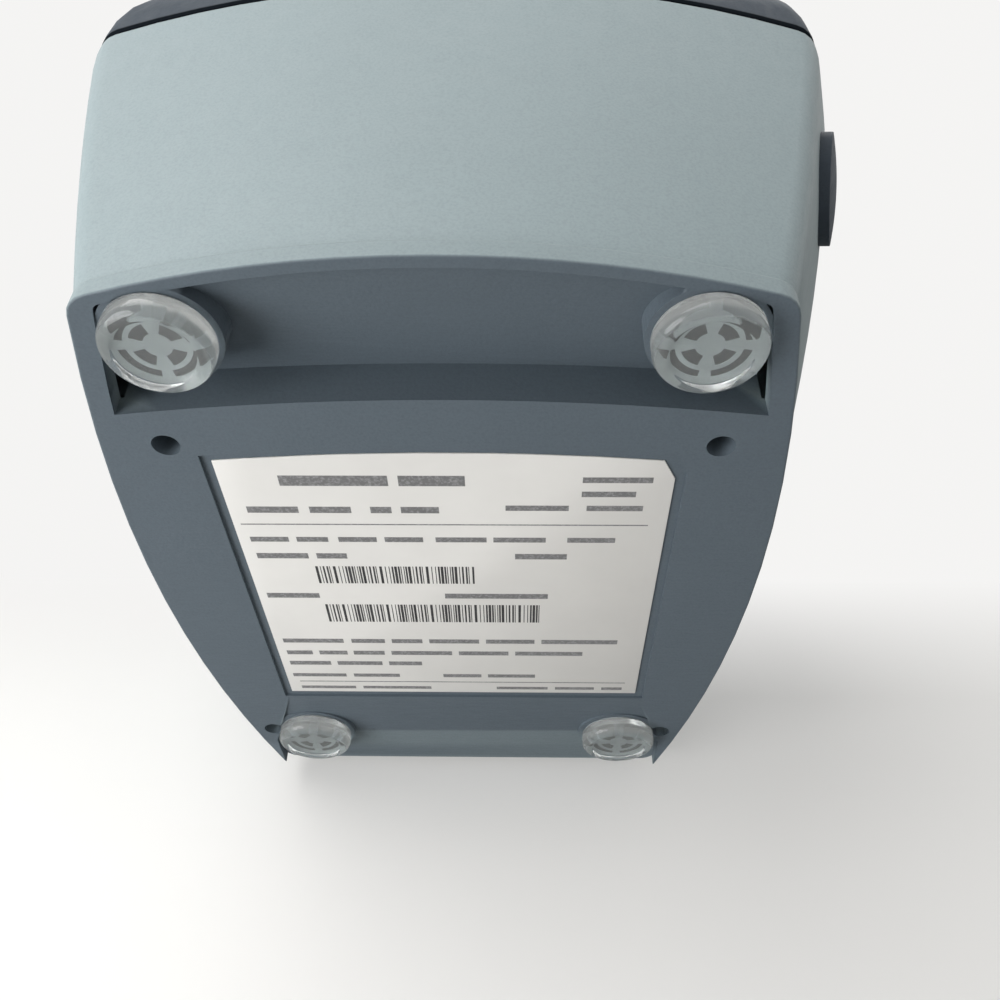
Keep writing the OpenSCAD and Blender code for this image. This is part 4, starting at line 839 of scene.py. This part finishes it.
# CAD nodes that only get rounded edges, by group: node, finish and kind of edge
SOFTENED = {
    "button": [("release_button", "lid", "moulded"), ("latch_lever", "black", "moulded")],
    "lid_parts": [
        ("lid_frame", "black", "moulded"), ("lid_screws", "zinc", "tooth"),
        ("head_bracket", "sheet", "sheet"), ("head_pivot_pin", "turned", "moulded"),
        ("feed_button", "key", "moulded"), ("button_board", "board", "tooth"),
        ("status_lens", "lamp", "moulded"),
    ],
    "pins": [
        ("base_screws", "black_screw", "tooth"), ("hinge_pin_left", "turned", "moulded"),
        ("hinge_pin_right", "turned", "moulded"), ("latch_pin", "turned", "moulded"),
    ],
    "side_frame": [
        ("side_plate_left", "sheet", "sheet"), ("side_plate_right", "sheet", "sheet"),
        ("tie_bars", "turned", "moulded"),
    ],
    "drive": [
        ("platen_shaft", "turned", "moulded"), ("platen_rubber", "rubber", "moulded"),
        ("platen_bushes", "acetal", "sheet"), ("platen_gear", "acetal", "tooth"),
        ("idler_gear", "acetal", "tooth"), ("idler_post", "turned", "sheet"),
        ("motor_body", "can", "moulded"), ("motor_pinion", "brass", "tooth"),
        ("motor_screws", "zinc", "sheet"),
    ],
    "label_path": [
        ("tear_bar", "blade", "tooth"), ("label_guide", "black", "moulded"),
        ("label_sensor", "black", "moulded"),
    ],
    "electronics": [
        ("main_board", "board", "tooth"), ("board_parts", "chip", "moulded"),
        ("board_screws", "zinc", "tooth"), ("usb_socket", "tin", "sheet"),
        ("power_jack", "black", "moulded"),
    ],
    "roll_bay": [
        ("roll_cradle", "black", "moulded"), ("roll_holder_left", "grey", "moulded"),
        ("roll_holder_right", "grey", "moulded"), ("hub_left", "key", "moulded"),
        ("hub_right", "key", "moulded"), ("sync_pinion", "acetal", "tooth"),
        ("pinion_clip", "sheet", "tooth"),
    ],
}


def soften_group(context, group):
    """Finishes the CAD nodes of a group."""
    for node, finish, edge in SOFTENED[group]:
        weighted(softened(node, finish, getattr(context.scene.printer_edges, edge)))


class PRINTER_OT_button(bpy.types.Operator):
    """Release button and latch lever"""

    bl_idname = "printer.button"
    bl_label = "Release button"

    def execute(self, context):
        soften_group(context, "button")
        return {"FINISHED"}


class PRINTER_OT_lid_parts(bpy.types.Operator):
    """Frame, head carrier, feed key and lamp inside the lid"""

    bl_idname = "printer.lid_parts"
    bl_label = "Lid parts"

    def execute(self, context):
        soften_group(context, "lid_parts")
        return {"FINISHED"}


class PRINTER_OT_pins(bpy.types.Operator):
    """Screws and pins"""

    bl_idname = "printer.pins"
    bl_label = "Screws and pins"

    def execute(self, context):
        soften_group(context, "pins")
        return {"FINISHED"}


class PRINTER_OT_side_frame(bpy.types.Operator):
    """Side plates and tie bars"""

    bl_idname = "printer.side_frame"
    bl_label = "Side frame"

    def execute(self, context):
        soften_group(context, "side_frame")
        return {"FINISHED"}


class PRINTER_OT_drive(bpy.types.Operator):
    """Platen, gears and motor"""

    bl_idname = "printer.drive"
    bl_label = "Drive"

    def execute(self, context):
        soften_group(context, "drive")
        return {"FINISHED"}


GLAZE_H = 0.3 * MM


class PRINTER_OT_label_path(bpy.types.Operator):
    """Print head, tear bar, guide and sensor"""

    bl_idname = "printer.label_path"
    bl_label = "Label path"

    def execute(self, context):
        soften_group(context, "label_path")
        head = weighted(softened("print_head", ("head", "glaze"), context.scene.printer_edges.sheet))
        low = min(v.co.z for v in head.data.vertices)
        for polygon in head.data.polygons:
            if polygon.center.z < low + GLAZE_H and polygon.normal.z < -0.5:
                polygon.material_index = 1
        return {"FINISHED"}


class PRINTER_OT_electronics(bpy.types.Operator):
    """Main board and sockets"""

    bl_idname = "printer.electronics"
    bl_label = "Electronics"

    def execute(self, context):
        soften_group(context, "electronics")
        return {"FINISHED"}


class PRINTER_OT_roll_bay(bpy.types.Operator):
    """Cradle, holders and hubs of the label roll"""

    bl_idname = "printer.roll_bay"
    bl_label = "Roll bay"

    def execute(self, context):
        soften_group(context, "roll_bay")
        return {"FINISHED"}


HEAD_SPRING_R = 3.0 * MM
HEAD_WIRE = 0.35 * MM
HEAD_TURNS = 5.0
END_RISE = 0.2 * MM  # the last turn at each end of a head spring lies nearly flat
LATCH_WIRE = 0.25 * MM
LATCH_TURNS = 3.0


class PRINTER_OT_springs(bpy.types.Operator):
    """Wound springs of the print head and the latch"""

    bl_idname = "printer.springs"
    bl_label = "Springs"

    def execute(self, context):
        low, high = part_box("head_springs")
        wire = HEAD_WIRE
        y, foot = (low.y + high.y) / 2, low.z + wire
        tall = high.z - low.z - 2 * wire
        stretches = (
            (0, END_RISE, 1.0), (END_RISE, tall - 2 * END_RISE, HEAD_TURNS), (tall - END_RISE, END_RISE, 1.0),
        )
        bm = bmesh.new()
        for x in (low.x + HEAD_SPRING_R, high.x - HEAD_SPRING_R):
            for start, height, turns in stretches:
                coil(bm, (x, y, foot + start), (0, 0, 1), HEAD_SPRING_R - wire, wire, height, turns)
        springs = piece(bm, "head_springs_wound", "spring", "head_springs", smooth=60)
        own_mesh(springs)
        low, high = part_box("latch_spring")
        wire = LATCH_WIRE
        r = (high.x - low.x) / 2 - wire
        x, z = low.x + wire + r, (low.z + high.z) / 2
        first, last = low.y + wire, high.y - wire
        bm = bmesh.new()
        coil(bm, (x, first, z), (0, 1, 0), r, wire, last - first, LATCH_TURNS)
        for y, end in ((first, low.z), (last, high.z)):
            leg = bmesh.ops.create_cone(
                bm, cap_ends=True, segments=WIRE_SIDES, radius1=wire, radius2=wire, depth=abs(end - z)
            )["verts"]
            bmesh.ops.translate(bm, vec=(x + r, y, (z + end) / 2), verts=leg)
        piece(bm, "latch_spring_wound", "spring", "latch_spring", smooth=60)
        return {"FINISHED"}


# Stage: the printer stands on its rear end, with its base to the camera

PHOTO_PITCH = math.radians(39.57)
PHOTO_YAW = math.radians(-1.40)
PHOTO_ROLL = math.radians(1.06)
CAMERA_AT = (12.056 * MM, -155.877 * MM, -102.931 * MM)
SENSOR = 36.0
CLIP = (0.005, 50)
REACH = 3.0  # half the width of table and floor
TABLE_GAP = 0.1 * MM
TABLE_BEND = 28 * MM  # height at which the table turns up into the backdrop
TABLE_FOLD = 0.05
THROWN_BACK = 0.35  # share of its colour with which the stage lights the printer
GLOW_HINT = 0.28
EVEN_TINT = (1.0, 0.99, 0.975, 1)
# Name, property with its power, place, aim and size
LIGHTS = (
    ("key_light", "key", (-0.40, -0.77, 0.38), (0, 0, 0.05), 0.85),
    ("fill_light", "fill", (-0.40, -0.16, -0.30), (0, 0, 0.02), 0.4),
    ("side_light", "side", (0.85, -0.25, -0.1), (0, 0, 0.05), 0.5),
    ("top_light", "top", (0.1, 0.1, 1.1), (0, 0, 0.05), 0.9),
)


def camera_turn():
    """Rows: the picture's right, down and forward directions in the printer's frame."""
    look = Matrix((
        (1, 0, 0),
        (0, math.sin(PHOTO_PITCH), -math.cos(PHOTO_PITCH)),
        (0, math.cos(PHOTO_PITCH), math.sin(PHOTO_PITCH)),
    ))
    yaw = Matrix.Rotation(PHOTO_YAW, 3, "Z")
    roll = Matrix.Rotation(PHOTO_ROLL, 3, "Z")
    return roll @ look @ yaw


def one_sided(name, colour, seen_only=False, glow=None, start=0.0, end=1.0):
    """Pale stage surface that shows on its front and throws little of its light back at the printer.

    One that is only seen takes no light from the printer, and one with a glow turns into a plain
    background of that colour for the camera between two heights, with a hint of it everywhere.
    """
    r = Recipe(name, Roughness=0.6, **{"Specular IOR Level": 0.2})
    mottle = r.noise(60 * MM, 3)
    seen = r.add("ShaderNodeLightPath").outputs["Is Camera Ray"]
    sheet = r.ramp(mottle, shade(colour, 0.985), shade(colour, 1.0))
    r.set(r.shader, {"Base Color": r.mix("MIX", (*shade(colour, THROWN_BACK), 1), sheet, seen)})
    front = r.shader.outputs["BSDF"]
    gone = r.add("ShaderNodeNewGeometry").outputs["Backfacing"]
    if seen_only:
        unseen = r.set(r.add("ShaderNodeMath", operation="SUBTRACT"), {0: 1.0, 1: seen})
        gone = r.set(
            r.add("ShaderNodeMath", operation="MAXIMUM"), {0: gone, 1: unseen.outputs[0]}
        ).outputs[0]
    if glow:
        height = r.set(r.add("ShaderNodeSeparateXYZ"), {0: r.place}).outputs["Z"]
        share = r.span(height, GLOW_HINT, 1.0, start, end)
        share = r.set(r.add("ShaderNodeMath", operation="MULTIPLY"), {0: share, 1: seen}).outputs[0]
        plain = r.set(r.add("ShaderNodeEmission"), {"Color": (*glow, 1)}).outputs["Emission"]
        front = r.set(r.add("ShaderNodeMixShader"), {0: share, 1: front, 2: plain}).outputs["Shader"]
    clear = r.add("ShaderNodeBsdfTransparent").outputs["BSDF"]
    choose = r.set(r.add("ShaderNodeMixShader"), {0: gone, 1: front, 2: clear})
    r.set(r.tree.nodes["Material Output"], {"Surface": choose.outputs["Shader"]})
    return r.material


def stage_sheet(name, outline, sweep, material, fold=0.0):
    """Sheet made by carrying an outline of points along sweep, with rounded folds."""
    bm = bmesh.new()
    line = [bm.verts.new(p) for p in outline]
    edges = [bm.edges.new(pair) for pair in zip(line, line[1:])]
    moved = bmesh.ops.extrude_edge_only(bm, edges=edges)["geom"]
    bmesh.ops.translate(bm, vec=sweep, verts=[g for g in moved if isinstance(g, bmesh.types.BMVert)])
    if fold:
        folds = [e for e in bm.edges if len(e.link_faces) == 2]
        bmesh.ops.bevel(bm, geom=folds, offset=fold, affect="EDGES", segments=12, profile=0.5, material=-1)
    mesh = bpy.data.meshes.new(name)
    bm.to_mesh(mesh)
    bm.free()
    for polygon in mesh.polygons:
        polygon.use_smooth = True
    mesh.materials.append(material)
    thing = bpy.data.objects.new(name, mesh)
    bpy.context.scene.collection.objects.link(thing)


def pale_world(colour, strength):
    """World that lights evenly and shows as a pale background to the camera, in metal and in clear pieces."""
    world = bpy.data.worlds.new("even_light")
    world.use_nodes = True
    tree = world.node_tree
    even = tree.nodes["Background"]
    even.inputs["Color"].default_value = EVEN_TINT
    even.inputs["Strength"].default_value = strength
    seen = tree.nodes.new("ShaderNodeBackground")
    seen.inputs["Color"].default_value = (*colour, 1)
    path = tree.nodes.new("ShaderNodeLightPath")
    total = path.outputs["Is Camera Ray"]
    for ray in ("Is Glossy Ray", "Is Transmission Ray"):
        either = tree.nodes.new("ShaderNodeMath")
        either.operation = "MAXIMUM"
        tree.links.new(total, either.inputs[0])
        tree.links.new(path.outputs[ray], either.inputs[1])
        total = either.outputs[0]
    choose = tree.nodes.new("ShaderNodeMixShader")
    tree.links.new(total, choose.inputs[0])
    tree.links.new(even.outputs[0], choose.inputs[1])
    tree.links.new(seen.outputs[0], choose.inputs[2])
    tree.links.new(choose.outputs[0], tree.nodes["World Output"].inputs["Surface"])
    return world


def soft_light(name, at, towards, size, power):
    """Round lamp that shines from one point towards another."""
    light = bpy.data.lights.new(name, "AREA")
    light.shape = "DISK"
    light.size = size
    light.energy = power
    thing = bpy.data.objects.new(name, light)
    bpy.context.scene.collection.objects.link(thing)
    thing.location = at
    thing.rotation_mode = "QUATERNION"
    thing.rotation_quaternion = (Vector(towards) - Vector(at)).to_track_quat("-Z", "Y")


class PRINTER_OT_stage(bpy.types.Operator):
    """Camera, table, backdrop and light"""

    bl_idname = "printer.stage"
    bl_label = "Stage"

    def execute(self, context):
        look = context.scene.printer_stage
        rows = camera_turn()
        camera = bpy.data.cameras.new("camera")
        camera.sensor_width = SENSOR
        camera.lens = look.lens
        camera.clip_start, camera.clip_end = CLIP
        thing = bpy.data.objects.new("camera", camera)
        context.scene.collection.objects.link(thing)
        turn = Matrix((rows[0], -rows[1], -rows[2])).transposed()
        thing.matrix_world = Matrix.Translation(CAMERA_AT) @ turn.to_4x4()
        context.scene.camera = thing
        rear, bend = cad_box[1].y + TABLE_GAP, TABLE_BEND
        sweep = (2 * REACH, 0, 0)
        table = [(-REACH, rear, -REACH), (-REACH, rear, bend), (-REACH, rear + 0.6 * REACH, bend + REACH)]
        pale = one_sided("pale_table", look.table, glow=look.backdrop, start=bend, end=3 * bend)
        stage_sheet("table", table, sweep, pale, TABLE_FOLD)
        floor = [(-REACH, -REACH, 0), (-REACH, REACH, 0)]
        stage_sheet("floor", floor, sweep, one_sided("pale_floor", look.table, seen_only=True))
        for name, power, at, towards, size in LIGHTS:
            soft_light(name, at, towards, size, getattr(look, power))
        context.scene.world = pale_world(look.backdrop, look.world)
        context.scene.view_settings.view_transform = "Standard"
        return {"FINISHED"}


MAKERS = (
    PRINTER_OT_finishes, PRINTER_OT_shell, PRINTER_OT_base, PRINTER_OT_plate, PRINTER_OT_feet,
    PRINTER_OT_button, PRINTER_OT_lid_parts, PRINTER_OT_pins, PRINTER_OT_side_frame, PRINTER_OT_drive,
    PRINTER_OT_label_path, PRINTER_OT_electronics, PRINTER_OT_roll_bay, PRINTER_OT_springs, PRINTER_OT_stage,
)


class PRINTER_PT_sidebar(bpy.types.Panel):
    """Steps that finish the printer"""

    bl_idname = "PRINTER_PT_sidebar"
    bl_label = "Label printer"
    bl_space_type = "VIEW_3D"
    bl_region_type = "UI"
    bl_category = "Printer"

    def draw(self, context):
        for maker in MAKERS:
            self.layout.operator(maker.bl_idname)
        for key, group in GROUPS.items():
            column = self.layout.column()
            for name in group.__annotations__:
                column.prop(getattr(context.scene, key), name)


GROUPS = {"printer_finishes": PrinterFinishes, "printer_edges": PrinterEdges, "printer_stage": PrinterStage}


def register():
    for cls in (*GROUPS.values(), *MAKERS, PRINTER_PT_sidebar):
        bpy.utils.register_class(cls)
    for key, cls in GROUPS.items():
        setattr(bpy.types.Scene, key, PointerProperty(type=cls))


def unregister():
    for key in GROUPS:
        delattr(bpy.types.Scene, key)
    for cls in (PRINTER_PT_sidebar, *reversed(MAKERS), *GROUPS.values()):
        bpy.utils.unregister_class(cls)


def main():
    """Makes every piece and the stage."""
    register()
    for maker in MAKERS:
        group, name = maker.bl_idname.split(".")
        getattr(getattr(bpy.ops, group), name)()


if __name__ == "__main__":
    main()
